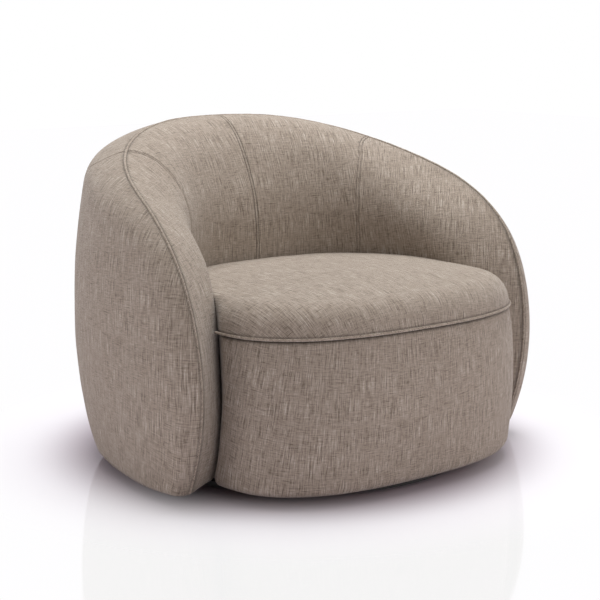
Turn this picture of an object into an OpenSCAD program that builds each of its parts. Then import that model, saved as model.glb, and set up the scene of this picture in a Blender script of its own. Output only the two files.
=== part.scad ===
// Swivel barrel chair: an upholstered barrel shell and a tight drum seat that turn on a flat plinth.
// X runs across the chair, Y from its front to its back, Z up from the floor.
// In the formulas below Y is zero at the shell's widest section. The finished chair is moved so that
// the origin lies on the floor under the middle of its outline.

/* [Shell] */
// Height of the welt line at the middle of the back, above the floor
chair_h = 710; // [660:5:760]
// Half of the width between the two welt lines at the widest height
rim_half_w = 455; // [430:5:480]
// From the widest section back to the welt surface
back_reach = 437; // [420:1:460]
// From the widest section forward to the tip of the shell's plan curve
front_reach = 380; // [350:5:400]
// Height at which the shell is widest
belly_h = 275; // [250:5:300]
// Outward swell of an arm beyond the welt line
arm_swell = 27; // [24:1:34]
// Outward swell of the back beyond the welt line
back_swell = 153; // [130:1:170]
// Thickness of an arm inside the welt line
arm_inner_t = 103; // [95:1:110]
// Thickness of the back inside the welt line
back_inner_t = 171; // [155:1:185]
// Depth over which an arm's outer side rounds out from the welt
arm_outer_round = 44; // [40:1:60]
// Depth over which the back's outer side rounds out from the welt
back_outer_round = 100; // [80:1:130]
// Depth over which an arm's inner side rounds in from the welt
arm_inner_round = 42; // [38:1:60]
// Depth over which the back's inner side rounds in from the welt
back_inner_round = 316; // [290:1:330]
// How far the back's roll stands up above its plain slope, and over what depth inside the welt
crest_rise = 19.5; // [10:0.5:22]
crest_depth = 96; // [80:1:110]
// Height over which the shell tucks in above its lower edge
foot_tuck_h = 70; // [55:1:80]

/* [Seat] */
// Half of the seat's width at its front
seat_half_w = 356; // [340:1:365]
// From the seat's widest line forward to its front welt
seat_front_reach = 221; // [205:1:240]
// From the shell's widest section forward to the seat's widest line
seat_widest_fwd = 83; // [70:1:95]
// Height of the seat welt above the floor
seat_welt_h = 333; // [320:1:350]
// Rise of the cushion's rolled edge above the welt
edge_rise = 64; // [50:1:75]
// How far the rolled edge leans in
edge_roll = 56; // [40:1:70]
// Extra rise of the cushion's crown at its middle
crown_rise = 20; // [10:1:28]
// Forward swell of the front panel between the welt and its lower edge
front_swell = 15.5; // [8:0.5:18]
// How far the front panel's lower edge is drawn in
front_tuck = 3; // [0:0.5:6]
// Height of the seat frame's top above the floor
seat_frame_h = 235; // [215:5:250]

/* [Cloth, piping and foam] */
// Thickness of the cover cloth
cloth_t = 1.5; // [1:0.1:2]
// Radius of the shell's welt
shell_welt_r = 3; // [2:0.5:4]
// Radius of the seat's welt
seat_welt_r = 4; // [3:0.5:5]
// Foam thickness on the inside of an arm
arm_pad_t = 45; // [40:1:50]
// Foam thickness on the inside of the back
back_pad_t = 80; // [70:1:90]
// Foam thickness on the shell's outer side
outer_pad_t = 15; // [12:1:17]
// Depth of the solid foam roll below the welt line
roll_depth = 85; // [75:1:100]
// Foam thickness on the seat's front
front_pad_t = 15; // [12:1:20]
// Felt under the seat foam
felt_t = 8; // [5:1:12]
// Gap between soft parts that lie against each other
soft_gap = 0.3; // [0.2:0.05:0.5]
// Gap between the seat and the shell around it
seat_gap = 1.5; // [1.2:0.1:3]

/* [Frame] */
// Thickness of the floor board of the frame
board_t = 18; // [15:1:21]
// Width of the battens under the floor board's edge
batten_w = 30; // [20:1:40]
// Thickness of posts, arm panels, the top rail and the seat rails
ply_t = 18; // [15:1:21]
// Height of the top rail
top_rail_h = 60; // [45:1:75]
// Thickness of the fibreboard liner behind the outer foam
liner_t = 3; // [2:0.5:4]
// Width of a webbing strap
strap_w = 50; // [40:1:60]
// Thickness of a webbing strap
strap_t = 1.5; // [1:0.1:2]
// Side of a corner block
block_w = 45; // [35:1:55]
// Wire of a seat spring
spring_wire = 4; // [3:0.2:5]
// Width of a seat spring across its bends
spring_w = 50; // [40:1:60]
// Number of seat springs
spring_count = 5; // [3:1:5]

/* [Swivel] */
// From the shell's widest section back to the swivel's axis
swivel_back = 85; // [75:1:95]
// Radius of the plinth
plinth_r = 350; // [335:1:360]
// Thickness of the plinth
plinth_t = 12; // [9:1:15]
// Rounding of the plinth's top edge
plinth_edge = 3; // [2:0.5:4]
// Thickness of a floor glide
glide_t = 3; // [2:0.5:4]
// Radius of a floor glide
glide_r = 16; // [12:1:20]
// Gap between the plinth and the body that turns above it
turn_gap = 3; // [2:0.5:6]
// Height between the plinth and the floor board, which the swivel fills
swivel_h = 20; // [19:1:24]
// Side of the two square swivel plates
plate_w = 240; // [230:1:245]
// Thickness of a swivel plate
plate_t = 3; // [2.5:0.1:3.5]
// Radius of the circle on which the balls run
ball_track_r = 100; // [90:1:103]
// Radius of a ball
ball_r = 5; // [4.5:0.1:5.4]
// Number of balls
ball_count = 20; // [12:1:24]
// Radius of the king bolt
king_r = 8; // [6:0.5:10]
// Running clearance of the bearing, on each side
run_gap = 0.05; // [0.03:0.01:0.1]

/* [Hidden] */

// Powers of the plan curve and of the seat's plan, which set how square they are
back_power = 2.4;
front_power = 2.25;
seat_power = 2.55;
// How much the shell draws in towards its top and its foot, across and along
top_in_x_share = 0.176;
top_in_y_share = 0.041;
foot_in_x_share = 0.041;
foot_in_y_share = 0.172;
foot_tuck_share = 0.14;
// The welt line from an arm's foot to the middle of the back: angles about the middle of the plan,
// counted from straight back, and heights as shares of the chair's height above its lower edge
rim_angles = [104.8, 112.2, 110.3, 69.4, 36, 15, 0];
rim_height_shares = [0, 0.191, 0.688, 0.861, 0.984, 0.9985, 0.998];
// Where the side seam leaves the welt line, and how far it sweeps back outside, as shares of the line
seam_share = 0.623;
seam_sweep_share = 0.17;
seam_sweep_depth_share = 0.25;
// Where the outer swell of the back sets in, and how it spreads, as shares of the line
swell_start_share = 0.34;
swell_length_share = 0.7;
// How fast the lower edge runs on from the arm's foot
foot_line_power = 1.3;

// Columns from an arm's foot to the middle of the back, rows from the welt to the lower edge
columns = 24;
rows = 10;
seam_column = 17;
hollow_column = 9;
frame_column = 10;
panel_end_column = 16;
post_columns = [17, 20, 24, 28, 31];
column_power = ln(seam_share) / ln(seam_column / columns);
row_power = 1.5;
first_share = 0.006;
last_column = 2 * columns;
panel_rows = 4;
strap_rows = [2, 3, 4, 5];

plinth_z = glide_t;
plinth_top = plinth_z + plinth_t;
skirt_z = plinth_top + turn_gap;
board_z = plinth_top + swivel_h;
board_top = board_z + board_t;
cover_skin = cloth_t + soft_gap;
seat_y = -seat_widest_fwd;
seat_columns = 16;
seat_angle_power = 1.5;
roll_steps = 3;
top_steps = 4;
overrun = 1;

// Smooth step from 0 to 1
function ease(u) = let (v = min(1, max(0, u))) v * v * (3 - 2 * v);
function flat(list) = [for (part = list) each part];
function unit(v) = v / max(norm(v), 1e-9);
function blend(a, b, u) = a + (b - a) * u;

// A clamped cubic spline through a list of control values
function knots(n) = [for (i = [0:n + 3]) min(1, max(0, (i - 3) / (n - 3)))];
function basis(i, k, u, kn) = k == 0
    ? (kn[i] <= u && u < kn[i + 1] ? 1 : 0)
    : (kn[i + k] > kn[i] ? (u - kn[i]) / (kn[i + k] - kn[i]) * basis(i, k - 1, u, kn) : 0)
    + (kn[i + k + 1] > kn[i + 1]
        ? (kn[i + k + 1] - u) / (kn[i + k + 1] - kn[i + 1]) * basis(i + 1, k - 1, u, kn) : 0);
function spline(values, u) = let (kn = knots(len(values)), v = min(u, 0.999999))
    [for (i = [0:len(values) - 1]) basis(i, 3, v, kn)] * values;
rim_steps = 120;
rim_angle_table = [for (i = [0:rim_steps]) [i / rim_steps, spline(rim_angles, i / rim_steps)]];
rim_height_table = [for (i = [0:rim_steps])
    [i / rim_steps, skirt_z + (chair_h - skirt_z) * spline(rim_height_shares, i / rim_steps)]];

// The welt surface: the plan point and its outward direction at an angle and a height
function plan_r(a) = let (p = plan_power(a))
    pow(pow(abs(sin(a)) / rim_half_w, p) + pow(abs(cos(a)) / plan_reach(a), p), -1 / p);
function plan_x(a) = plan_r(a) * sin(a);
function plan_y(a) = plan_r(a) * cos(a);
function plan_power(a) = cos(a) > 0 ? back_power : front_power;
function plan_reach(a) = cos(a) > 0 ? back_reach : front_reach;
function plan_point(a, z) = let (
    up = max(0, z - belly_h) / (chair_h - belly_h),
    dn = max(0, belly_h - z) / belly_h)
    [plan_x(a) * (1 - top_in_x_share * up * up - foot_in_x_share * dn * dn),
        plan_y(a) * (1 - top_in_y_share * up * up - foot_in_y_share * dn * dn), z];
function plan_out(a) = let (p = plan_power(a), x = plan_x(a), y = plan_y(a), r = plan_reach(a))
    unit([sign(x) * pow(abs(x / rim_half_w), p - 1) / rim_half_w, sign(y) * pow(abs(y / r), p - 1) / r, 0]);

// The welt line and its direction at a share of its length
function rim_point(s) = plan_point(lookup(s, rim_angle_table), lookup(s, rim_height_table));
rim_probe = 0.004;
function rim_dir(s) = unit(rim_point(min(1, s + rim_probe)) - rim_point(max(0, s - rim_probe)));

// Thickness of the shell outside and inside the welt surface
function swell_share(s) = ease((s - swell_start_share) / swell_length_share);
function outer_t(s) = blend(arm_swell, back_swell, swell_share(s));
function inner_t(s) = blend(arm_inner_t, back_inner_t, ease(s / swell_length_share));
function inner_pad(s) = blend(arm_pad_t, back_pad_t, ease(s / swell_length_share));
function rounded(u) = 1 - pow(1 - min(1, max(0, u)), 3);

// Place on the welt surface below the welt line, q being the share of the way down to the lower edge
function column_angle(s, q) = let (a = lookup(s, rim_angle_table),
    foot = min(a, rim_angles[0] * (1 - pow(s, foot_line_power)))) blend(a, foot, q);
function column_z(s, q) = blend(lookup(s, rim_height_table), skirt_z, q);
function column_point(s, q) = plan_point(column_angle(s, q), column_z(s, q));
function column_length(s) = norm(column_point(s, 1) - column_point(s, 0));
// Share of the way down at which a column reaches a height, or a depth below the welt line
function share_at_z(s, z) = let (top = lookup(s, rim_height_table)) (top - z) / (top - skirt_z);
function share_at_depth(s, depth) = depth / column_length(s);
// Depth of a place below the welt line, square to that line
function skin_depth(s, q) = let (to = column_point(s, q) - rim_point(s), dir = rim_dir(s))
    norm(to - (to * dir) * dir);
// How far the shell's skin lies from the welt surface: side is 1 outside and -1 inside
function skin_t(s, q, side) = let (
    d = skin_depth(s, q),
    reach = side > 0 ? blend(arm_outer_round, back_outer_round, s)
        : blend(arm_inner_round, back_inner_round, s),
    tuck = 1 - foot_tuck_share * pow(1 - min(1, (column_z(s, q) - skirt_z) / foot_tuck_h), 2))
    (side > 0 ? outer_t(s) : inner_t(s)) * rounded(d / reach) * tuck;
// Along the back the roll stands up inside the welt line
crest_start_share = 0.45;
crest_length_share = 0.25;
function crest(s, q) = let (u = min(1, skin_depth(s, q) / crest_depth))
    crest_rise * ease((s - crest_start_share) / crest_length_share) * 4 * u * (1 - u);
// A point of the shell at some distance outward from its skin
function shell_point(s, q, side, out = 0) =
    column_point(s, q) + plan_out(column_angle(s, q)) * side * (skin_t(s, q, side) + out)
    + [0, 0, side < 0 ? crest(s, q) : 0];
// Outside, the side seam sweeps back as it leaves the welt line
function sweep_bump(s) = pow(sin(180 * pow(s, ln(0.5) / ln(seam_share))), 2);
function swept(s, q, side) = side > 0
    ? s + seam_sweep_share * sweep_bump(s) * ease(q / seam_sweep_depth_share) : s;

function column_share(j) = max(first_share, pow(j / columns, column_power));
function inner_foot_share(j) = j < hollow_column ? 1
    : share_at_z(column_share(j), board_top + soft_gap);

// Half of the shell as a grid: for each column, points from the inner foot over the welt to the outer foot
slot_t = shell_welt_r + 4 * soft_gap;
function row_share(j, k) = k == 0 ? 0 : let (first = min(0.5, 2 * slot_t / column_length(column_share(j))))
    blend(first, 1, pow((abs(k) - 1) / (rows - 1), row_power));
function half_skin() = [for (j = [0:columns]) [for (k = [-rows:rows])
    let (side = k < 0 ? -1 : 1, share = row_share(j, k), q = side < 0 ? share * inner_foot_share(j) : share)
    shell_point(swept(column_share(j), q, side), q, side)]];
// The hollow inside the foam, on the same columns. Its roof has a low ridge.
ridge_share = 0.97;
function hollow_top(s) = share_at_depth(s, roll_depth);
function half_hollow() = [for (j = [0:columns]) let (s = column_share(j)) [for (k = [-rows:rows])
    let (side = k < 0 ? -1 : 1, foot = side < 0 ? inner_foot_share(j) : 1,
        q = blend(hollow_top(s), foot, max(0, abs(k) - 1) / (rows - 1)))
    k == 0 ? hollow_middle(s, hollow_top(s) * ridge_share)
        : shell_point(j == hollow_column ? swept(s, q, side) : s, q, side,
            side < 0 ? -inner_pad(s) : -outer_pad_t)]];
// The middle of the hollow, where the frame stands
function hollow_middle(s, q) = column_point(s, q) + plan_out(column_angle(s, q))
    * ((skin_t(s, q, 1) - outer_pad_t) - (skin_t(s, q, -1) - inner_pad(s))) / 2;
// Both halves: columns run from the left arm's foot round the back to the right arm's foot
function across(column) = [for (p = column) [-p.x, p.y, p.z]];
function whole(half) = concat([for (j = [0:columns]) across(half[j])],
    [for (j = [1:columns]) half[columns - j]]);
function whole_share(c) = column_share(c <= columns ? c : 2 * columns - c);

// Outward directions of a grid, from its neighbours
function grid_out(g) = let (last = len(g) - 1, end = len(g[0]) - 1)
    [for (c = [0:last]) [for (k = [0:end])
        let (along = g[min(last, c + 1)][k] - g[max(0, c - 1)][k],
            down = g[c][min(end, k + 1)] - g[c][max(0, k - 1)],
            out = unit(cross(along, down)))
        k == 0 || k == end ? unit([out.x, out.y, 0]) : out]];
function sunk(g, out, depth) = [for (c = [0:len(g) - 1]) [for (k = [0:len(g[0]) - 1])
    g[c][k] - out[c][k] * depth]];
function part_of(g, c0, c1, k0, k1) = [for (c = [c0:c1]) [for (k = [k0:k1]) g[c][k]]];

// Faces of one cell between two columns of a grid with n points a column
function cell(a, b, c, d) = [[a, b, c], [a, c, d]];
function turned(faces) = [for (f = faces) [f[2], f[1], f[0]]];
function mirrored_cell(a, b, c, d) = [[a, b, d], [b, c, d]];
// Columns from number `middle` on belong to the mirrored half, and their cells are cut the other way
function grid_faces(nc, nk, first, middle) = flat([for (c = [0:nc - 2]) for (k = [0:nk - 2])
    let (p = first + c * nk + k)
    c < middle ? cell(p, p + 1, p + nk + 1, p + nk) : mirrored_cell(p, p + 1, p + nk + 1, p + nk)]);
// A strip between two rows of point numbers
function strip(a, b) = flat([for (i = [0:len(a) - 2]) cell(a[i], b[i], b[i + 1], a[i + 1])]);

// A closed panel between a front grid and a back grid
module panel(front, back, middle = 2 * columns) {
    nc = len(front);
    nk = len(front[0]);
    size = nc * nk;
    top = [for (c = [0:nc - 1]) c * nk];
    foot = [for (c = [0:nc - 1]) c * nk + nk - 1];
    start = [for (k = [0:nk - 1]) k];
    end = [for (k = [0:nk - 1]) (nc - 1) * nk + k];
    polyhedron(concat(flat(front), flat(back)), concat(
        grid_faces(nc, nk, 0, middle),
        turned(grid_faces(nc, nk, size, middle)),
        turned(strip(top, [for (i = top) i + size])),
        strip(foot, [for (i = foot) i + size]),
        strip(start, [for (i = start) i + size]),
        turned(strip(end, [for (i = end) i + size]))));
}

// A round bead swept along a path, with flat ends
bead_sides = 6;
function path_dir(path, i) = unit(path[min(len(path) - 1, i + 1)] - path[max(0, i - 1)]);
module bead(path, outs, r) {
    rings = [for (i = [0:len(path) - 1]) let (dir = path_dir(path, i),
        u = unit(outs[i] - (outs[i] * dir) * dir), v = cross(dir, u))
        [for (m = [0:bead_sides - 1]) let (a = 360 * m / bead_sides)
            path[i] + (u * cos(a) + v * sin(a)) * r]];
    n = len(path);
    around = flat([for (i = [0:n - 2]) for (m = [0:bead_sides - 1]) let (m2 = (m + 1) % bead_sides)
        cell(i * bead_sides + m, i * bead_sides + m2, (i + 1) * bead_sides + m2, (i + 1) * bead_sides + m)]);
    cap = [for (m = [1:bead_sides - 2]) [0, m + 1, m]];
    end = [for (m = [1:bead_sides - 2]) [0, m, m + 1] + [1, 1, 1] * (n - 1) * bead_sides];
    polyhedron(flat(rings), turned(concat(around, cap, end)));
}

// The shell's foam lies between its cloth and a hollow in which the frame stands. It is cut into pads
// along the grid: all are made for the left half and mirrored for the right.
function foam_skin() = let (skin = whole(half_skin())) sunk(skin, grid_out(skin), cover_skin);
module foam_pad(c0, c1, k0, k1)
    panel(part_of(foam_skin(), c0, c1, k0, k1), part_of(whole(half_hollow()), c0, c1, k0, k1));
// The solid nose of an arm, up to the column where the hollow begins
module nose_foam() {
    outer = foam_skin();
    hollow = whole(half_hollow());
    nk = 2 * rows + 1;
    last = nk - 1;
    tip = 1;
    end = hollow_column;
    base = (end - tip + 1) * nk;
    function o(c, k) = (c - tip) * nk + k;
    function h(k) = base + k;
    function ladder(p) = flat([for (k = [0:rows - 1]) k == rows - 1
        ? [[p(k), p(k + 1), p(last - k)]] : cell(p(k), p(k + 1), p(last - k - 1), p(last - k))]);
    section = [for (k = [0:last]) k];
    front = turned(ladder(function (k) o(tip, k)));
    back = concat(ladder(function (k) h(k)),
        turned(strip([for (k = section) o(end, k)], [for (k = section) h(k)])));
    before = end - 1;
    floor = turned(concat(
        flat([for (c = [tip:before - 1]) cell(o(c, 0), o(c, last), o(c + 1, last), o(c + 1, 0))]),
        [[o(before, 0), o(before, last), h(last)],
            [o(before, last), o(end, last), h(last)],
            [o(before, 0), h(last), h(0)],
            [o(before, 0), h(0), o(end, 0)]]));
    polyhedron(concat(flat([for (c = [tip:end]) outer[c]]), hollow[end]),
        concat(grid_faces(end - tip + 1, nk, 0, end), front, back, floor));
}

// One cloth panel of the shell between two columns and two rows. Row 0 is the inner foot, row `rows`
// the welt line and row 2 * rows the outer foot. It stops short of the welt and seam by a slot.
function toward(a, b, d) = a + (b - a) * min(0.5, d / max(norm(b - a), 1e-6));
function slotted(g, k) = [for (c = [0:len(g) - 1]) [for (i = [0:len(g[0]) - 1])
    i == k ? toward(g[c][k], g[c][k + (k == 0 ? 1 : -1)], slot_t) : g[c][i]]];
core_share = 0.48;
function core_line(column) = [for (k = [0:2 * rows]) blend(column[k], column[2 * rows - k], core_share)];
module shell_cloth(c0, c1, side) {
    skin = whole(half_skin());
    back = sunk(skin, grid_out(skin), cloth_t);
    closed = [for (c = [0:last_column]) c == 0 || c == last_column ? core_line(skin[c]) : back[c]];
    k0 = side > 0 ? rows : 0;
    k1 = side > 0 ? 2 * rows : rows;
    welt_row = side > 0 ? 0 : rows;
    panel(slotted(part_of(skin, c0, c1, k0, k1), welt_row), slotted(part_of(closed, c0, c1, k0, k1), welt_row),
        columns - c0);
}

// The seat's plan. Angles are counted from +X about the middle of the seat's widest line.
function cross2(a, b) = a.x * b.y - a.y * b.x;
seat_middle = [0, seat_y];
far_reach = 3 * rim_half_w;
rim_share_table = [for (row = rim_height_table) [row[1], row[0]]];
function inner_line(z) = concat([rim_point(lookup(z, rim_share_table))],
    [for (j = [0:columns]) let (s = column_share(j)) if (lookup(s, rim_height_table) > z)
        shell_point(s, share_at_z(s, z), -1)],
    [across([shell_point(column_share(columns - 1), share_at_z(column_share(columns - 1), z), -1)])[0]]);
function flat2(p) = [p.x, p.y];
function line_reach(line, a) = let (dir = [cos(a), sin(a)])
    min(concat([far_reach], [for (i = [0:len(line) - 2])
        let (p = flat2(line[i]) - seat_middle, run = flat2(line[i + 1] - line[i]), d = cross2(dir, run))
        if (abs(d) > 1e-9) let (t = cross2(p, run) / d, u = cross2(p, dir) / d)
            if (u > -1e-6 && u < 1 + 1e-6 && t > 0) t]));
// Clear of the shell at an angle and, near the nose, halfway to the next angles as well
nose_angle = 16;
function shell_reach(line, i) = let (a = half_angles[i], low = half_angles[max(0, i - 1)],
    high = half_angles[min(2 * seat_columns, i + 1)])
    abs(a) > nose_angle ? line_reach(line, a)
        : min([for (b = [low, (low + a) / 2, a, (high + a) / 2, high]) line_reach(line, b)]);
function front_reach_at(a, grow) = let (w = seat_half_w + grow, f = seat_front_reach + grow)
    sin(a) < 0 ? pow(pow(abs(cos(a)) / w, seat_power) + pow(abs(sin(a)) / f, seat_power), -1 / seat_power)
        : min(far_reach, w / max(abs(cos(a)), 1e-3));
function front_grow(z) = let (u = min(1, max(0, (z - skirt_z) / (seat_welt_h - skirt_z))))
    4 * front_swell * u * (1 - u) - front_tuck * (1 - u);
function seat_point(reach, a, z) = [reach * cos(a), seat_y + reach * sin(a), z];
// A ring of the seat at a height, inset from the front's form and from the shell around it
// They lie closer together at the sides, where the seat passes the arms' noses.
half_angles = [for (i = [-seat_columns:seat_columns])
    90 * sign(i) * pow(abs(i) / seat_columns, seat_angle_power)];
function both_sides(half) = concat(half, across([for (i = [2:len(half) - 1]) half[len(half) - i]]));
function ring(z, grow, inset) = let (line = inner_line(z)) both_sides([for (i = [0:2 * seat_columns])
    let (a = half_angles[i])
        seat_point(min(front_reach_at(a, grow), shell_reach(line, i) - seat_gap - inset), a, z)]);
// Rings over the rolled edge and the crown at some depth under the cloth's surface
function roll_ring(step, depth) = let (a = 90 * step / roll_steps)
    [for (p = ring(seat_welt_h + edge_rise * sin(a) + (step == 0 ? seat_slot : 0),
        -edge_roll * (1 - cos(a)) - depth * cos(a), depth)) p - [0, 0, depth * sin(a)]];
function top_ring(edge, share) = [for (p = edge) let (q = seat_point(0, 0, 0))
    [p.x * share, q.y + (p.y - q.y) * share, p.z + crown_rise * (1 - share * share)]];
function cushion_top(depth) = let (edge = roll_ring(roll_steps, depth))
    concat([for (i = [0:roll_steps - 1]) roll_ring(i, depth)],
        [for (i = [0:top_steps - 1]) top_ring(edge, 1 - i / top_steps)]);
function crown_point(depth) = [0, seat_y, seat_welt_h + edge_rise + crown_rise - depth];
seat_slot = seat_welt_r + soft_gap;
function ring_faces(count, n, first, tip) = concat(
    flat([for (r = [0:count - 2]) for (i = [0:n - 1]) let (i2 = (i + 1) % n, p = first + r * n, q = p + n)
        i < n / 2 ? cell(p + i, q + i, q + i2, p + i2) : mirrored_cell(p + i, q + i, q + i2, p + i2)]),
    [for (i = [0:n - 1]) let (p = first + (count - 1) * n) [p + i, tip, p + (i + 1) % n]]);
// A solid over rings from its underside to its tip
module lofted(rings, underside, tip) {
    n = len(rings[0]);
    count = len(rings) * n;
    polyhedron(concat(flat(rings), [underside, tip]), concat(ring_faces(len(rings), n, 0, count + 1),
        [for (i = [0:n - 1]) [i, (i + 1) % n, count]]));
}
// A sheet between outer and inner rings, each with its tip
module domed(outer, inner, outer_tip, inner_tip) {
    n = len(outer[0]);
    count = len(outer) * n;
    rim = concat([for (i = [0:n - 1]) i], [0]);
    polyhedron(concat(flat(outer), flat(inner), [outer_tip, inner_tip]), concat(
        ring_faces(len(outer), n, 0, 2 * count),
        turned(ring_faces(len(outer), n, count, 2 * count + 1)),
        turned(strip(rim, [for (i = rim) i + count]))));
}
function reversed(list) = [for (i = [1:len(list)]) list[len(list) - i]];

// Heights of the layers on the seat frame
hole_gap = 0.2;
clip_t = 1.5;
felt_z = seat_frame_h + spring_wire + hole_gap + clip_t + soft_gap;
foam_z = felt_z + felt_t + soft_gap;

// The upright core of the seat: the plan that stays clear of the front pad and of the shell at every height
core_heights = [skirt_z, board_top, skirt_z + foot_tuck_h, (seat_frame_h + board_top) / 2,
    seat_frame_h, foam_z];
// It leaves room for the pad's thin ends as well.
front_end_angle = 8;
pad_end_t = 4;
function core_half(inset) = let (lines = [for (z = core_heights) inner_line(z)])
    [for (i = [0:2 * seat_columns]) let (a = half_angles[i]) flat2(seat_point(min(
        front_reach_at(a, -front_tuck - cover_skin - front_pad_t - soft_gap),
        min([for (line = lines) shell_reach(line, i)]) - seat_gap - cover_skin
            - (a < 2 * front_end_angle ? pad_end_t : 0)) - inset, a, 0))];
function both(half) = [for (p = both_sides([for (p = half) [p.x, p.y, 0]])) flat2(p)];
// The part of a curved rail between two angles, both on the right and mirrored to the left
rail_front_angle = -27;
rail_back_angle = 35;
module curved_rail(from, to) {
    outer = core_half(0);
    inner = core_half(ply_t);
    angles = half_angles;
    pick = [for (i = [0:len(angles) - 1]) if (angles[i] >= from && angles[i] <= to) i];
    right = [for (i = pick) i];
    front = from < 0;
    line_out = front ? concat([for (i = reversed(right)) [-outer[i].x, outer[i].y]], [for (i = right) outer[i]])
        : concat([for (i = right) outer[i]], [for (i = reversed(right)) [-outer[i].x, outer[i].y]]);
    line_in = front ? concat([for (i = reversed(right)) [-inner[i].x, inner[i].y]], [for (i = right) inner[i]])
        : concat([for (i = right) inner[i]], [for (i = reversed(right)) [-inner[i].x, inner[i].y]]);
    translate([0, 0, board_top]) linear_extrude(seat_frame_h - board_top)
        polygon(concat(line_out, reversed(line_in)));
}
module inside_rails(h) translate([0, 0, board_top]) linear_extrude(h)
    polygon(both(core_half(ply_t + soft_gap)));

// Everything is laid out about the shell's widest section and moved to the middle of its outline here
front_edge_y = seat_y - seat_front_reach - front_grow((skirt_z + seat_welt_h) / 2);
function back_edge_y() = max([for (q = [0:0.02:1]) shell_point(1, q, 1).y]);
module placed() translate([0, -(front_edge_y + back_edge_y()) / 2, 0]) children();
module on_axis() placed() translate([0, swivel_back, 0]) children();

// Swivel and plinth
fine = 96;
screw_r = 2.5;
screw_tip_room = 1;
bolt_end = 1;
screw_head_r = 6;
screw_head_t = 2.5;
corner_inset = 22;
king_head_r = 14;
king_head_t = 5;
king_recess = 0.5;
king_nut_r = 13.5;
king_nut_t = 7;
king_end = 3;
nut_room_r = 24;
race_w = 18;
cage_room = 2;
cage_t = 1.2;
cage_w = 16;
race_t = swivel_h / 2 - plate_t - cage_room;
ball_z = plinth_top + swivel_h / 2;
bolt_r = 4;
bolt_head_r = 6.5;
bolt_head_t = 4;
tee_r = 5.5;
tee_flange_r = 11;
tee_flange_t = 1.5;
tee_length = 10;
plate_corner_r = 15;
glide_count = 6;
module at_corners() for (x = [-1, 1]) for (y = [-1, 1])
    translate([x * (plate_w / 2 - corner_inset), y * (plate_w / 2 - corner_inset), 0]) children();
module rod(r, z0, z1) translate([0, 0, z0]) cylinder(r = r, h = z1 - z0, $fn = 48);

module plinth() color("#1c1a19") on_axis() difference() {
    rotate_extrude($fn = fine) polygon(concat([[0, plinth_z], [plinth_r, plinth_z]],
        [for (a = [0:15:90]) [plinth_r - plinth_edge * (1 - cos(a)), plinth_top - plinth_edge * (1 - sin(a))]],
        [[0, plinth_top]]));
    rod(king_r + run_gap, plinth_z - overrun, plinth_top + overrun);
    rod(king_head_r + hole_gap, plinth_z - overrun, plinth_z + king_recess + king_head_t);
    at_corners() rod(screw_r + hole_gap, plinth_z + screw_tip_room, plinth_top + overrun);
}
module floor_glides() color("#2b2b2b") on_axis() for (i = [0:glide_count - 1])
    rotate([0, 0, 360 * (i + 0.5) / glide_count]) translate([plinth_r - 2 * glide_r, 0, 0])
        rod(glide_r, 0, glide_t);
module swivel_plate(z, king_gap, corner_r) difference() {
    translate([0, 0, z]) linear_extrude(plate_t) difference() {
        square([plate_w, plate_w], center = true);
        for (x = [-1, 1]) for (y = [-1, 1]) translate([x, y] * plate_w / 2) difference() {
            square([2, 2] * plate_corner_r, center = true);
            translate([-x, -y] * plate_corner_r) circle(r = plate_corner_r, $fn = 48);
        }
    }
    rod(king_r + king_gap, z - overrun, z + plate_t + overrun);
    at_corners() rod(corner_r + hole_gap, z - overrun, z + plate_t + overrun);
}
module swivel_lower_plate() color("#5b5e62") on_axis() swivel_plate(plinth_top, run_gap, screw_r);
module swivel_upper_plate() color("#5b5e62") on_axis() swivel_plate(board_z - plate_t, run_gap, bolt_r);
module race(z) rotate_extrude($fn = fine) difference() {
    translate([ball_track_r - race_w / 2, z]) square([race_w, race_t]);
    translate([ball_track_r, ball_z]) circle(r = ball_r + run_gap, $fn = 32);
}
module lower_race() color("#8a8d90") on_axis() race(plinth_top + plate_t);
module upper_race() color("#8a8d90") on_axis() race(board_z - plate_t - race_t);
module around_track() for (i = [0:ball_count - 1])
    rotate([0, 0, 360 * i / ball_count]) translate([ball_track_r, 0, 0]) children();
module bearing_balls() color("silver") on_axis() around_track()
    translate([0, 0, ball_z]) sphere(r = ball_r, $fn = 24);
module ball_cage() color("#d8d3c4") on_axis() difference() {
    rotate_extrude($fn = fine) translate([ball_track_r - cage_w / 2, ball_z - cage_t / 2])
        square([cage_w, cage_t]);
    around_track() rod(ball_r + hole_gap, ball_z - cage_t, ball_z + cage_t);
}
module king_bolt() color("#9a9da0") on_axis() union() {
    rod(king_head_r, plinth_z + king_recess, plinth_z + king_recess + king_head_t);
    rod(king_r, plinth_z + king_recess, board_z + soft_gap + king_nut_t + king_end);
}
module king_nut() color("#9a9da0") on_axis() difference() {
    translate([0, 0, board_z + soft_gap]) cylinder(r = king_nut_r, h = king_nut_t, $fn = 6);
    rod(king_r + run_gap, board_z - overrun, board_z + king_nut_t + overrun + soft_gap);
}
module lower_plate_screws() color("#77797c") on_axis() at_corners() union() {
    rod(screw_r, plinth_z + 2 * screw_tip_room, plinth_top + plate_t);
    rod(screw_head_r, plinth_top + plate_t, plinth_top + plate_t + screw_head_t);
}
module upper_plate_bolts() color("#77797c") on_axis() at_corners() union() {
    rod(bolt_head_r, board_z - plate_t - bolt_head_t, board_z - plate_t);
    rod(bolt_r, board_z - plate_t, board_top + tee_flange_t + bolt_end);
}
module tee_nuts() color("#a9a08a") on_axis() at_corners() difference() {
    union() {
        rod(tee_flange_r, board_top, board_top + tee_flange_t);
        rod(tee_r, board_top - tee_length, board_top + tee_flange_t);
    }
    rod(bolt_r + run_gap, board_top - tee_length - overrun, board_top + tee_flange_t + overrun);
}

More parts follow.
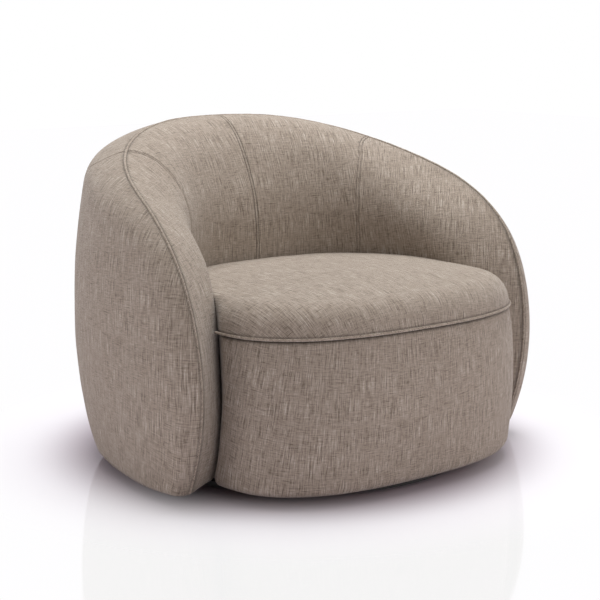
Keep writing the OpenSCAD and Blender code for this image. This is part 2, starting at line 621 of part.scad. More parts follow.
// Floor of the body. Its wings reach into the shell's hollow behind the arm noses.
wing_column = frame_column;
board_gap = 0.8;
function wing_points() = [for (j = [wing_column:columns]) let (s = column_share(j))
    flat2(shell_point(s, 1, 1, -outer_pad_t - board_gap))];
function board_half() = let (corner = shell_point(column_share(wing_column), 1, -1),
    turn = atan2(corner.y - seat_y, corner.x), core = core_half(0), angles = half_angles)
    concat([for (i = [0:len(core) - 1]) if (angles[i] < turn) core[i]], wing_points());
module board_plan() polygon(both(board_half()));
module floor_board() color("#b98f5e") placed() difference() {
    translate([0, 0, board_z]) linear_extrude(board_t) board_plan();
    translate([0, swivel_back, 0]) {
        rod(nut_room_r, board_z - overrun, board_top + overrun);
        at_corners() rod(tee_r + hole_gap, board_z - overrun, board_top + overrun);
    }
}
// The battens are cut into lengths, with a saw cut between each two
batten_cut_angles = [20, 65, 115, 160, 205, 250, 290, 335];
module edge_battens() color("#c49a68") placed() translate([0, 0, skirt_z]) linear_extrude(board_z - skirt_z)
    difference() {
        board_plan();
        offset(delta = -batten_w) board_plan();
        for (a = batten_cut_angles) rotate(a) translate([0, -soft_gap]) square([far_reach, 2 * soft_gap]);
    }
cloth_hole_share = 0.76;
dust_cloth_t = 1;
module dust_cloth() color("#171616") placed() translate([0, 0, board_z - dust_cloth_t])
    linear_extrude(dust_cloth_t)
    difference() {
        offset(delta = -batten_w - soft_gap) board_plan();
        translate([0, swivel_back]) circle(r = plate_w * cloth_hole_share, $fn = fine);
    }

// Seat frame
side_rail_x_share = 0.76;
frame_half_w = min(seat_half_w, rim_half_w - arm_inner_t);
side_rail_x = frame_half_w * side_rail_x_share;
module side_rail(side) intersection() {
    inside_rails(seat_frame_h - board_top);
    translate([side > 0 ? side_rail_x - ply_t : -side_rail_x, -far_reach, board_top])
        cube([ply_t, 2 * far_reach, seat_frame_h - board_top]);
}
module seat_front_rail() color("#c9a270") placed() curved_rail(-90, rail_front_angle);
module seat_back_rail() color("#c9a270") placed() curved_rail(rail_back_angle, 90);
module seat_side_rail_left() color("#c9a270") placed() side_rail(-1);
module seat_side_rail_right() color("#c9a270") placed() side_rail(1);
function core_y(x, inset, front) = let (core = core_half(inset), n = len(core),
    list = front ? core : reversed(core)) lookup(x, [for (i = [0:floor(n / 2)]) [list[i].x, list[i].y]]);
module corner_blocks() color("#d9b98a") placed() for (side = [-1, 1]) for (front = [true, false])
    let (x = side_rail_x - ply_t - soft_gap, y = core_y(x - block_w, ply_t, front))
    intersection() {
        inside_rails(seat_frame_h - board_top - spring_wire);
        translate([side > 0 ? x - block_w : -x, front ? y - block_w : y - block_w, board_top])
            cube([block_w, 2 * block_w, seat_frame_h - board_top]);
    }

// Springs: wires that zigzag from the front rail to the back rail, held by clips on the rails
spring_bends = 9;
bend_points = 6;
clip_w = 14;
clip_l = 10;
spring_spread_share = 0.58;
function spring_x(i) = frame_half_w * spring_spread_share * (2 * i / (spring_count - 1) - 1);
function spring_y(i, front) = core_y(abs(spring_x(i)), ply_t / 2, front);
function swing(u) = let (v = sin(180 * spring_bends * u), edge = min(1, min(u, 1 - u) * spring_bends))
    sign(v) * sqrt(abs(v)) * edge;
module spring(i) {
    n = spring_bends * bend_points;
    y0 = spring_y(i, true);
    y1 = spring_y(i, false);
    half = (spring_w - spring_wire) / 2;
    path = [for (k = [0:n]) [spring_x(i) + half * swing(k / n), blend(y0, y1, k / n)]];
    sides = [for (k = [0:n]) let (d = unit(path[min(n, k + 1)] - path[max(0, k - 1)]))
        [d.y, -d.x] * spring_wire / 2];
    translate([0, 0, seat_frame_h]) linear_extrude(spring_wire)
        polygon(concat([for (k = [0:n]) path[k] + sides[k]], [for (k = [0:n]) path[n - k] - sides[n - k]]));
}
module seat_springs() color("#6f7377") placed() for (i = [0:spring_count - 1]) spring(i);
module spring_clips() color("#55585b") placed() for (i = [0:spring_count - 1]) for (front = [true, false])
    translate([spring_x(i), spring_y(i, front), seat_frame_h]) difference() {
        translate([-clip_w / 2, -clip_l / 2, 0]) cube([clip_w, clip_l, spring_wire + hole_gap + clip_t]);
        translate([-clip_w / 2 + clip_t, -clip_l / 2 - overrun, -overrun])
            cube([clip_w - 2 * clip_t, clip_l + 2 * overrun, spring_wire + hole_gap + overrun]);
    }
module spring_felt() color("#8f8a80") placed() translate([0, 0, felt_z]) linear_extrude(felt_t)
    polygon(both(core_half(0)));

// Seat foam and cover
front_top = seat_welt_h - seat_slot;
side_heights = [foam_z, (foam_z + front_top) / 2, front_top];
module seat_foam() color("#e8dcae") placed() lofted(
    concat([for (z = side_heights) ring(z, front_grow(z) - cover_skin, cover_skin)], cushion_top(cover_skin)),
    [0, seat_y, foam_z], crown_point(cover_skin));
module seat_cover() color("#a89a8a") placed()
    domed(cushion_top(0), cushion_top(cloth_t), crown_point(0), crown_point(cloth_t));
// The front panel runs from arm to arm, a little past the seat's widest line
pad_rows = 5;
pad_heights = [for (k = [0:pad_rows]) blend(foam_z - soft_gap, skirt_z, k / pad_rows)];
front_heights = concat([side_heights[2], side_heights[1]], pad_heights);
function front_column(i, depth, heights) = [for (z = heights) let (a = half_angles[i]) seat_point(
    min(front_reach_at(a, front_grow(z)), shell_reach(inner_line(z), i) - seat_gap) - depth, a, z)];
function round_front(half) = concat(reversed(half), [for (i = [1:len(half) - 1]) across(half[i])]);
function front_half(end, column) =
    round_front([for (i = [0:2 * seat_columns]) if (half_angles[i] <= end) column(i)]);
module front_panel(end, outer, inner) {
    front = front_half(end, outer);
    panel(front, front_half(end, inner), floor(len(front) / 2));
}
module front_cover() color("#8f8172") placed() front_panel(front_end_angle,
    function (i) front_column(i, 0, front_heights), function (i) front_column(i, cloth_t, front_heights));
// The pad's back is upright, so it stands clear of the frame at every height
module front_pad() color("#e8dcae") placed() {
    core = core_half(0);
    front_panel(front_end_angle, function (i) front_column(i, cover_skin, pad_heights),
        function (i) let (reach = norm(core[i] - seat_middle) + soft_gap)
            [for (z = pad_heights) seat_point(reach, half_angles[i], z)]);
}
welt_end_gap = 2 * seat_welt_r;
module seat_welt() color("#a89a8a") placed() {
    line = inner_line(seat_welt_h);
    half = [for (a = half_angles) if (line_reach(line, a) - front_reach_at(a, 0) > seat_gap + welt_end_gap) a];
    angles = concat(reversed(half), [for (a = half) if (a > -90) -180 - a]);
    grow = seat_welt_r - cover_skin + 2 * soft_gap;
    bead([for (a = angles) seat_point(front_reach_at(a, grow), a, seat_welt_h)],
        [for (a = angles) [cos(a), sin(a), 0]], seat_welt_r);
}

// Shell frame
rail_drop = 8;
function frame_top(s) = share_at_depth(s, roll_depth + rail_drop);
function rail_foot(s) = share_at_depth(s, roll_depth + rail_drop + top_rail_h);
function slab(s, q, t) = hollow_middle(s, q) + plan_out(column_angle(s, q)) * t;
function half_slab(j0, j1, t, shares) = [for (j = [j0:j1]) [for (i = [0:len(shares(0.5)) - 1])
    slab(column_share(j), shares(column_share(j))[i], t)]];
function rail_shares() = function (s) [frame_top(s), rail_foot(s)];
frame_gap = 0.6;
function panel_shares() = function (s) let (top = rail_foot(s) + share_at_depth(s, frame_gap),
    foot = share_at_z(s, board_top)) [for (i = [0:panel_rows]) blend(top, foot, i / panel_rows)];
function with_mirror(left) = concat(left, [for (i = [2:len(left)]) across(left[len(left) - i])]);
function round_back(half) = with_mirror([for (c = half) across(c)]);
module top_rail() color("#c9a270") placed() panel(
    round_back(half_slab(frame_column, columns, ply_t / 2, rail_shares())),
    round_back(half_slab(frame_column, columns, -ply_t / 2, rail_shares())), columns - frame_column);
module arm_panel() panel(
    [for (c = half_slab(frame_column, panel_end_column, ply_t / 2, panel_shares())) across(c)],
    [for (c = half_slab(frame_column, panel_end_column, -ply_t / 2, panel_shares())) across(c)]);
module arm_panel_left() color("#c9a270") placed() arm_panel();
module arm_panel_right() color("#c9a270") placed() mirror([1, 0, 0]) arm_panel();
// Posts stand between the webbing inside and the liner outside
post_rows = 6;
post_room = 4;
post_room_outside = 8;
strap_gap = 0.9;
post_in_gap = strap_gap + strap_t + post_room;
post_out_gap = soft_gap + liner_t + post_room_outside;
function post_edge(s, c, u) = let (dir = rim_dir(s), level = unit([dir.x, dir.y, 0]))
    blend(dir, level, u) * ply_t / 2;
function post_face(s, w) = let (top = rail_foot(s) + share_at_depth(s, frame_gap),
    foot = share_at_z(s, board_top))
    [for (i = [0:post_rows]) let (u = i / post_rows, q = blend(top, foot, u)) [for (side = [1, -1])
        shell_point(s, q, side, side > 0 ? -outer_pad_t - post_out_gap : -inner_pad(s) - post_in_gap)
            + post_edge(s, q, u) * w]];
module back_posts() color("#c9a270") placed() for (c = post_columns)
    mirror([c < columns ? 1 : 0, 0, 0]) panel(post_face(whole_share(c), 1), post_face(whole_share(c), -1));
// Webbing lies on the foam's inner wall and passes in front of the posts
// A column of the hollow's wall at a share of the way from its top to its foot, on the flat cells of its grid
function wall_point(column, side, u) = let (v = 1 + u * (rows - 1), k = min(rows - 1, floor(v)))
    blend(column[rows + side * k], column[rows + side * (k + 1)], v - k);
// A sheet's face in the hollow, some depth off the wall: columns j0 on, at the shares given for a column
function wall_face(j0, side, shares, depth) = let (
    hollow = [for (c = half_hollow()) across(c)], out = grid_out(hollow))
    with_mirror([for (j = [j0:columns]) [for (u = shares(j, hollow[j]))
        wall_point(hollow[j], side, u) - wall_point(out[j], side, u) * depth]]);
function strap_shares(row) = function (j, column) let (
    half_u = strap_w / 2 / norm(column[1] - column[0]) / (rows - 1))
    [for (w = [-1, 1]) (row + 0.5) / (rows - 1) + w * half_u];
module back_webbing() color("#3c3a36") placed() for (row = strap_rows)
    panel(wall_face(seam_column, -1, strap_shares(row), strap_gap + strap_t),
        wall_face(seam_column, -1, strap_shares(row), strap_gap), columns - seam_column);
// The liner lies on the hollow's outer wall, down to the board
function wall_end(column) = lookup(-board_top - soft_gap,
    [for (k = [rows + 1:2 * rows]) [-column[k].z, (k - rows - 1) / (rows - 1)]]);
liner_gap = 0.6;
function liner_shares() = function (j, column) [for (k = [0:rows - 1])
    min(wall_end(column), max(frame_gap / column_length(column_share(j)), k / (rows - 1)))];
module outer_liner() color("#9c8b70") placed()
    panel(wall_face(frame_column, 1, liner_shares(), liner_gap),
        wall_face(frame_column, 1, liner_shares(), liner_gap + liner_t), columns - frame_column);

// Shell foam and covers
module arm_nose() nose_foam();
module arm_pad() foam_pad(hollow_column, seam_column, 0, rows - 1);
module back_pad() foam_pad(seam_column, columns, 0, rows - 1);
module rim_roll() foam_pad(hollow_column, columns, rows - 1, rows + 1);
module outer_pad() foam_pad(hollow_column, columns, rows + 1, 2 * rows);
module arm_nose_left() color("#e8dcae") placed() arm_nose();
module arm_nose_right() color("#e8dcae") placed() mirror([1, 0, 0]) arm_nose();
module arm_pad_left() color("#e3d6a6") placed() arm_pad();
module arm_pad_right() color("#e3d6a6") placed() mirror([1, 0, 0]) arm_pad();
module back_pad_left() color("#dfd2a0") placed() back_pad();
module back_pad_right() color("#dfd2a0") placed() mirror([1, 0, 0]) back_pad();
module rim_roll_left() color("#efe4ba") placed() rim_roll();
module rim_roll_right() color("#efe4ba") placed() mirror([1, 0, 0]) rim_roll();
module outer_pad_left() color("#e8dcae") placed() outer_pad();
module outer_pad_right() color("#e8dcae") placed() mirror([1, 0, 0]) outer_pad();
module outer_cover_left() color("#998b7c") placed() shell_cloth(0, seam_column, 1);
module outer_cover_back() color("#9d8f80") placed() shell_cloth(seam_column, last_column - seam_column, 1);
module outer_cover_right() color("#998b7c") placed() shell_cloth(last_column - seam_column, last_column, 1);
module inner_cover_arm_left() color("#a39586") placed() shell_cloth(0, seam_column, -1);
module inner_cover_back_left() color("#8f8172") placed() shell_cloth(seam_column, columns, -1);
module inner_cover_back_right() color("#8f8172") placed() shell_cloth(columns, last_column - seam_column, -1);
module inner_cover_arm_right() color("#a39586") placed()
    shell_cloth(last_column - seam_column, last_column, -1);
module shell_welt() color("#a89a8a") placed() {
    skin = whole(half_skin());
    out = grid_out(skin);
    inner = [for (c = [1:last_column - 1]) c];
    bead([for (c = inner) skin[c][rows] + out[c][rows] * (shell_welt_r - cover_skin + 2 * soft_gap)],
        [for (c = inner) out[c][rows]], shell_welt_r);
}

plinth();
floor_glides();
swivel_lower_plate();
lower_race();
bearing_balls();
ball_cage();
king_bolt();
king_nut();
lower_plate_screws();
swivel_upper_plate();
upper_race();
upper_plate_bolts();
tee_nuts();
floor_board();
edge_battens();
dust_cloth();
seat_front_rail();
seat_side_rail_left();
seat_side_rail_right();
seat_back_rail();
corner_blocks();
seat_springs();
spring_clips();
spring_felt();
seat_foam();
seat_cover();
seat_welt();
front_pad();
front_cover();
top_rail();
arm_panel_left();
arm_panel_right();
back_posts();
back_webbing();
outer_liner();
arm_nose_left();
arm_nose_right();
arm_pad_left();
arm_pad_right();
back_pad_left();
back_pad_right();
rim_roll_left();
rim_roll_right();
outer_pad_left();
outer_pad_right();
outer_cover_left();
outer_cover_back();
outer_cover_right();
inner_cover_arm_left();
inner_cover_back_left();
inner_cover_back_right();
inner_cover_arm_right();
shell_welt();
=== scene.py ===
# Looks of the swivel barrel chair: cloth, piping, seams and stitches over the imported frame.
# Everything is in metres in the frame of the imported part. In the formulas Y is zero at the shell's widest
# section, and MID moves a point to the origin under the middle of the chair's outline.
import math

import bpy
import numpy as np
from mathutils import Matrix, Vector


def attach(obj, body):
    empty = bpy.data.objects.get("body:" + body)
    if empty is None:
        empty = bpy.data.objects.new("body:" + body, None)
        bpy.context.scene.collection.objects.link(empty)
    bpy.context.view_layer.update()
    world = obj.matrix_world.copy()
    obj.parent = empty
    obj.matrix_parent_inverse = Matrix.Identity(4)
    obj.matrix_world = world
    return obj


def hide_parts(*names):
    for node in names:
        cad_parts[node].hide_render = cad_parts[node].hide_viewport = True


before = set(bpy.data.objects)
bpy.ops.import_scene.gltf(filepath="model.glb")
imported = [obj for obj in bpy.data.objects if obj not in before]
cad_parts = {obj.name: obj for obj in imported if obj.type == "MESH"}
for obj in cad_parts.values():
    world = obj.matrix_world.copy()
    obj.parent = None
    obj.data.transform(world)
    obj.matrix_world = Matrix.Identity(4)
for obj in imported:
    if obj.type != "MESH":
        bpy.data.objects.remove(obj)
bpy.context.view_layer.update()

# Sizes of the shell, as in the part's source
CHAIR_H = 0.710
RIM_W = 0.455
BACK_REACH = 0.437
FRONT_REACH = 0.380
BELLY_H = 0.275
ARM_SWELL, BACK_SWELL = 0.027, 0.153
ARM_INNER, BACK_INNER = 0.103, 0.171
ARM_OUT_ROUND, BACK_OUT_ROUND = 0.044, 0.100
ARM_IN_ROUND, BACK_IN_ROUND = 0.042, 0.316
CREST_RISE, CREST_DEPTH, CREST_START, CREST_LENGTH = 0.0195, 0.140, 0.45, 0.25
FOOT_TUCK_H = 0.070
BACK_POWER, FRONT_POWER, SEAT_POWER = 2.4, 2.25, 2.55
TOP_IN_X, TOP_IN_Y, FOOT_IN_X, FOOT_IN_Y, FOOT_TUCK = 0.176, 0.041, 0.041, 0.172, 0.14
RIM_ANGLES = [104.8, 112.2, 110.3, 69.4, 36, 15, 0]
RIM_HEIGHTS = [0, 0.191, 0.688, 0.861, 0.984, 0.9985, 0.998]
SEAM = 0.623
SWEEP, SWEEP_DEPTH = 0.17, 0.25
SWELL_START, SWELL_LENGTH = 0.34, 0.7
FOOT_LINE_POWER = 1.3
SKIRT_Z = 0.018
BOARD_TOP = 0.053
MID = 0.135405

# Sizes of the seat
SEAT_W = 0.356
SEAT_FRONT = 0.221
SEAT_Y = -0.083
SEAT_WELT_H = 0.333
EDGE_RISE, EDGE_ROLL, CROWN = 0.064, 0.056, 0.020
FRONT_SWELL, FRONT_TUCK = 0.0115, -0.001
SEAT_GAP = 0.0015
SHELL_WELT_R, SEAT_WELT_R = 0.0027, 0.0029
WELT_SLOT = SEAT_WELT_R + 0.0002

# Sizes of the cloth and its sewing
CLOTH_T = 0.0014
STITCH_OFF = 0.0035
STITCH_STEP = 0.0042
STITCH_R = 0.00036
STITCH_SINK = 0.0013
STITCH_END_Z = 0.385
WEAVE_PITCH = 0.0011
RIM_STEP = 0.004
FAR_AWAY = 9.0

TO_LEFT = np.array([-1, 1, 1])


def ease(u):
    v = np.clip(u, 0, 1)
    return v * v * (3 - 2 * v)


def mix(a, b, u):
    return a + (b - a) * u


def unit(v):
    return v / np.maximum(np.linalg.norm(v, axis=-1, keepdims=True), 1e-12)


def spline(values, u):
    """A clamped cubic spline through control values."""
    n = len(values)
    kn = np.clip((np.arange(n + 4) - 3) / (n - 3), 0, 1)
    u = np.minimum(np.asarray(u, float), 1 - 1e-9)
    b = [((kn[i] <= u) & (u < kn[i + 1])).astype(float) for i in range(n + 3)]
    for k in (1, 2, 3):
        c = []
        for i in range(n + 3 - k):
            left = (u - kn[i]) / (kn[i + k] - kn[i]) * b[i] if kn[i + k] > kn[i] else 0 * u
            far = kn[i + k + 1] - kn[i + 1]
            right = (kn[i + k + 1] - u) / far * b[i + 1] if far > 0 else 0 * u
            c.append(left + right)
        b = c
    return sum(v * w for v, w in zip(values, b))


def plan(angle, z):
    """Point and outward direction of the welt surface at an angle in degrees and a height."""
    a = np.radians(angle)
    sn, cs = np.sin(a), np.cos(a)
    p = np.where(cs > 0, BACK_POWER, FRONT_POWER)
    reach = np.where(cs > 0, BACK_REACH, FRONT_REACH)
    r = ((np.abs(sn) / RIM_W) ** p + (np.abs(cs) / reach) ** p) ** (-1 / p)
    x, y = r * sn, r * cs
    out = unit(np.stack([
        np.sign(x) * np.abs(x / RIM_W) ** (p - 1) / RIM_W,
        np.sign(y) * np.abs(y / reach) ** (p - 1) / reach,
        0 * x,
    ], -1))
    up = np.maximum(0, z - BELLY_H) / (CHAIR_H - BELLY_H)
    dn = np.maximum(0, BELLY_H - z) / BELLY_H
    point = np.stack([
        x * (1 - TOP_IN_X * up**2 - FOOT_IN_X * dn**2),
        y * (1 - TOP_IN_Y * up**2 - FOOT_IN_Y * dn**2),
        z + 0 * x,
    ], -1)
    return point, out


def rim_angle(s):
    return spline(RIM_ANGLES, s)


def rim_z(s):
    return SKIRT_Z + (CHAIR_H - SKIRT_Z) * spline(RIM_HEIGHTS, s)


def rim_point(s):
    return plan(rim_angle(s), rim_z(s))[0]


def rim_dir(s):
    return unit(rim_point(np.minimum(1, s + RIM_STEP)) - rim_point(np.maximum(0, s - RIM_STEP)))


def column(s, q):
    a = rim_angle(s)
    foot = np.minimum(a, RIM_ANGLES[0] * (1 - s**FOOT_LINE_POWER))
    return plan(mix(a, foot, q), mix(rim_z(s), SKIRT_Z, q))


def depths_of(s, side):
    """Thickness of the padding and the depth over which it rounds in, on one side of the welt surface."""
    if side > 0:
        thick = mix(ARM_SWELL, BACK_SWELL, ease((s - SWELL_START) / SWELL_LENGTH))
        return thick, mix(ARM_OUT_ROUND, BACK_OUT_ROUND, s)
    thick = mix(ARM_INNER, BACK_INNER, ease(s / SWELL_LENGTH))
    return thick, mix(ARM_IN_ROUND, BACK_IN_ROUND, s)


def skin_point(s, q, side):
    """A point of the shell's skin: side is 1 outside and -1 inside."""
    s, q = np.broadcast_arrays(np.asarray(s, float), np.asarray(q, float))
    point, way = column(s, q)
    to = point - rim_point(s)
    d = rim_dir(s)
    dist = np.linalg.norm(to - (to * d).sum(-1, keepdims=True) * d, axis=-1)
    thick, reach = depths_of(s, side)
    tuck = 1 - FOOT_TUCK * (1 - np.minimum(1, (point[..., 2] - SKIRT_Z) / FOOT_TUCK_H)) ** 2
    t = thick * (1 - (1 - np.clip(dist / reach, 0, 1)) ** 3) * tuck
    u = np.clip(dist / CREST_DEPTH, 0, 1)
    # The cubic is 1 at its highest, a third of the way down.
    crest = CREST_RISE * ease((s - CREST_START) / CREST_LENGTH) * 6.75 * u * (1 - u) ** 2 * (side < 0)
    return point + way * (side * t)[..., None] + np.stack([0 * crest, 0 * crest, crest], -1)


def swept(s, q):
    """Outside, the side seam sweeps back as it leaves the welt line."""
    bump = np.sin(np.pi * s ** (math.log(0.5) / math.log(SEAM))) ** 2
    return s + SWEEP * bump * ease(q / SWEEP_DEPTH)


def place_of(angle, z):
    """The share along the welt line and the share down the column of a place on the welt surface."""
    low = np.zeros_like(z)
    high = np.ones_like(z)
    for _ in range(34):
        mid = (low + high) / 2
        top = rim_z(mid)
        q = (top - z) / np.maximum(top - SKIRT_Z, 1e-9)
        a = rim_angle(mid)
        foot = np.minimum(a, RIM_ANGLES[0] * (1 - mid**FOOT_LINE_POWER))
        ahead = (top < z) | (mix(a, foot, np.clip(q, 0, 1)) > angle)
        low, high = np.where(ahead, mid, low), np.where(ahead, high, mid)
    s = (low + high) / 2
    top = rim_z(s)
    return s, np.clip((top - z) / np.maximum(top - SKIRT_Z, 1e-9), 0, 1)


# The columns run square to the welt line this far, and ease into their own run over the second length.
SQUARE_LENGTH, SQUARE_EASE = 0.008, 0.055


def squared_off(s0, s, q, depth, hold):
    """Turns the columns so that they leave the welt line at a right angle and only then run down."""
    a, z = rim_angle(s), rim_z(s)
    foot = np.minimum(a, RIM_ANGLES[0] * (1 - s**FOOT_LINE_POWER))
    a, z = mix(a, foot, q), mix(z, SKIRT_Z, q)
    a0, z0 = rim_angle(s0), rim_z(s0)
    here = plan(a0, z0)[0]
    by_a = (plan(a0 + 0.05, z0)[0] - here) / 0.05
    by_z = (plan(a0, z0 + 0.0005)[0] - here) / 0.0005
    d = rim_dir(s0)
    la, lz = np.linalg.norm(by_a, axis=-1), np.linalg.norm(by_z, axis=-1)
    da, dz = (d * by_a).sum(-1) / la, (d * by_z).sum(-1) / lz
    size = np.hypot(da, dz)
    pa, pz = -dz / size, da / size
    near_a, near_z = a0 + depth * pa / la, z0 + depth * pz / lz
    w = 1 - hold * (1 - ease((depth - SQUARE_LENGTH) / SQUARE_EASE))
    return place_of(mix(near_a, a, w), np.maximum(mix(near_z, z, w), SKIRT_Z + 1e-5))


# Smooth value noise on a fixed lattice, the same on every run
LATTICE_SIZE = 24
LATTICE = np.random.RandomState(7).uniform(-1, 1, (LATTICE_SIZE,) * 3)


def noise(p, size, shift=0.0):
    g = p / size + shift
    i = np.floor(g).astype(int)
    f = g - i
    f = f * f * (3 - 2 * f)
    total = 0
    for dx in (0, 1):
        for dy in (0, 1):
            for dz in (0, 1):
                w = (
                    (f[..., 0] if dx else 1 - f[..., 0])
                    * (f[..., 1] if dy else 1 - f[..., 1])
                    * (f[..., 2] if dz else 1 - f[..., 2])
                )
                at = (i + (dx, dy, dz)) % LATTICE_SIZE
                total = total + w * LATTICE[at[..., 0], at[..., 1], at[..., 2]]
    return total


def waves(p, *kinds):
    """Unevenness as a sum of noises, each given by its size, its height and its shift."""
    return sum(noise(p, size, shift) * height for size, height, shift in kinds)


def shifted(p):
    return p - np.array([0, MID, 0])


def grid_normals(g):
    """Outward directions of a grid of points from its neighbours."""
    along = np.empty_like(g)
    along[1:-1] = g[2:] - g[:-2]
    along[0] = g[1] - g[0]
    along[-1] = g[-1] - g[-2]
    down = np.empty_like(g)
    down[:, 1:-1] = g[:, 2:] - g[:, :-2]
    down[:, 0] = g[:, 1] - g[:, 0]
    down[:, -1] = g[:, -1] - g[:, -2]
    return unit(np.cross(along, down))


def add_mesh(name, verts, faces):
    mesh = bpy.data.meshes.new(name)
    mesh.from_pydata([tuple(v) for v in verts], [], faces)
    mesh.validate()
    mesh.update()
    mesh.polygons.foreach_set("use_smooth", [True] * len(mesh.polygons))
    obj = bpy.data.objects.new(name, mesh)
    bpy.context.scene.collection.objects.link(obj)
    return obj


def set_painted_shade(obj, values):
    """Painted shade at each point, 0 to 1, deepest in the seams; the cloth material darkens there."""
    layer = obj.data.attributes.new("painted_seam_shade", "FLOAT", "POINT")
    layer.data.foreach_set("value", np.clip(np.ravel(values), 0, 1).astype(np.float32))


def grid_mesh(name, g):
    """A mesh over a grid of points [column][row]."""
    nc, nk = g.shape[:2]
    faces = []
    for c in range(nc - 1):
        c2 = c + 1
        faces += [(c * nk + k, c * nk + k + 1, c2 * nk + k + 1, c2 * nk + k) for k in range(nk - 1)]
    return add_mesh(name, g.reshape(-1, 3), faces)


def lay_out(obj, up=2):
    """Flattens the piece as its cloth was cut, in metres, with the warp along the axis `up`."""
    bpy.ops.object.select_all(action="DESELECT")
    bpy.context.view_layer.objects.active = obj
    obj.select_set(True)
    obj.data.uv_layers.new(name="cloth")
    bpy.ops.object.mode_set(mode="EDIT")
    bpy.ops.mesh.select_all(action="SELECT")
    bpy.ops.uv.unwrap(method="ANGLE_BASED", margin=0)
    bpy.ops.object.mode_set(mode="OBJECT")
    mesh = obj.data
    n = len(mesh.loops)
    uv = np.zeros(n * 2)
    mesh.uv_layers["cloth"].data.foreach_get("uv", uv)
    uv = uv.reshape(-1, 2)
    vi = np.zeros(n, int)
    mesh.loops.foreach_get("vertex_index", vi)
    co = np.zeros(len(mesh.vertices) * 3)
    mesh.vertices.foreach_get("co", co)
    co = co.reshape(-1, 3)
    start = np.zeros(len(mesh.polygons), int)
    mesh.polygons.foreach_get("loop_start", start)
    p0, p1, p2 = (co[vi[start + i]] for i in range(3))
    u0, u1, u2 = (uv[start + i] for i in range(3))
    area3 = np.linalg.norm(np.cross(p1 - p0, p2 - p0), axis=1)
    e1, e2 = u1 - u0, u2 - u0
    det = e1[:, 0] * e2[:, 1] - e1[:, 1] * e2[:, 0]
    scale = math.sqrt(area3.sum() / max(np.abs(det).sum(), 1e-12))
    h1, h2 = (p1 - p0)[:, up], (p2 - p0)[:, up]
    ok = np.abs(det) > 1e-12
    gx = np.where(ok, (h1 * e2[:, 1] - h2 * e1[:, 1]) / np.where(ok, det, 1), 0)
    gy = np.where(ok, (h2 * e1[:, 0] - h1 * e2[:, 0]) / np.where(ok, det, 1), 0)
    w = area3 / np.maximum(np.hypot(gx, gy), 1e-9)
    turn = math.atan2((gx * w).sum(), (gy * w).sum())
    c, s = math.cos(turn), math.sin(turn)
    uv = (uv - uv.mean(0)) * scale
    uv = np.stack([uv[:, 0] * c - uv[:, 1] * s, uv[:, 0] * s + uv[:, 1] * c], 1)
    mesh.uv_layers["cloth"].data.foreach_set("uv", uv.ravel())


def thicken(obj):
    """Gives a sheet its cloth thickness, inwards."""
    m = obj.modifiers.new("cloth thickness", "SOLIDIFY")
    m.thickness = CLOTH_T
    m.offset = -1
    m.use_even_offset = False


def settle(obj, body, stands_for, material):
    """Gives a piece its material and slot, the body it rides on and the nodes it stands for."""
    obj.data.materials.clear()
    obj.data.materials.append(material)
    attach(obj, body)
    if stands_for:
        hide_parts(*stands_for)
    return obj


# Materials
class Nodes:
    """A short way to write a material's node tree."""

    def __init__(self, name):
        self.mat = bpy.data.materials.new(name)
        self.mat.use_nodes = True
        self.tree = self.mat.node_tree
        self.tree.nodes.clear()
        self.out = self.add("ShaderNodeOutputMaterial")

    def add(self, kind, inputs=None, **props):
        node = self.tree.nodes.new(kind)
        for k, v in props.items():
            setattr(node, k, v)
        for k, v in (inputs or {}).items():
            if isinstance(v, bpy.types.NodeSocket):
                self.tree.links.new(v, node.inputs[k])
            else:
                node.inputs[k].default_value = v
        return node

    def math(self, op, a, b=0.0, c=0.0, clamp=False):
        n = self.add("ShaderNodeMath", {0: a, 1: b, 2: c}, operation=op)
        n.use_clamp = clamp
        return n.outputs[0]

    def noise(self, vector, scale, size=1.0, detail=2.0, rough=0.5):
        m = self.add("ShaderNodeMapping", {"Vector": vector, "Scale": scale})
        n = self.add("ShaderNodeTexNoise", {
            "Vector": m.outputs[0], "Scale": size, "Detail": detail, "Roughness": rough})
        return n.outputs[0]

    def ramp(self, value, low, high):
        n = self.add("ShaderNodeMapRange", {"Value": value, "From Min": low, "From Max": high})
        n.interpolation_type = "SMOOTHSTEP"
        return n.outputs[0]

    def shade(self, a, b, u):
        n = self.add("ShaderNodeMix", data_type="RGBA")
        for i, v in ((0, u), (6, a), (7, b)):
            if isinstance(v, bpy.types.NodeSocket):
                self.tree.links.new(v, n.inputs[i])
            else:
                n.inputs[i].default_value = v
        return n.outputs[2]

    def finish(self, **inputs):
        shader = self.add("ShaderNodeBsdfPrincipled", {k.replace("_", " "): v for k, v in inputs.items()})
        self.tree.links.new(shader.outputs[0], self.out.inputs[0])
        return self.mat


def rgb(r, g, b):
    return (r, g, b, 1.0)


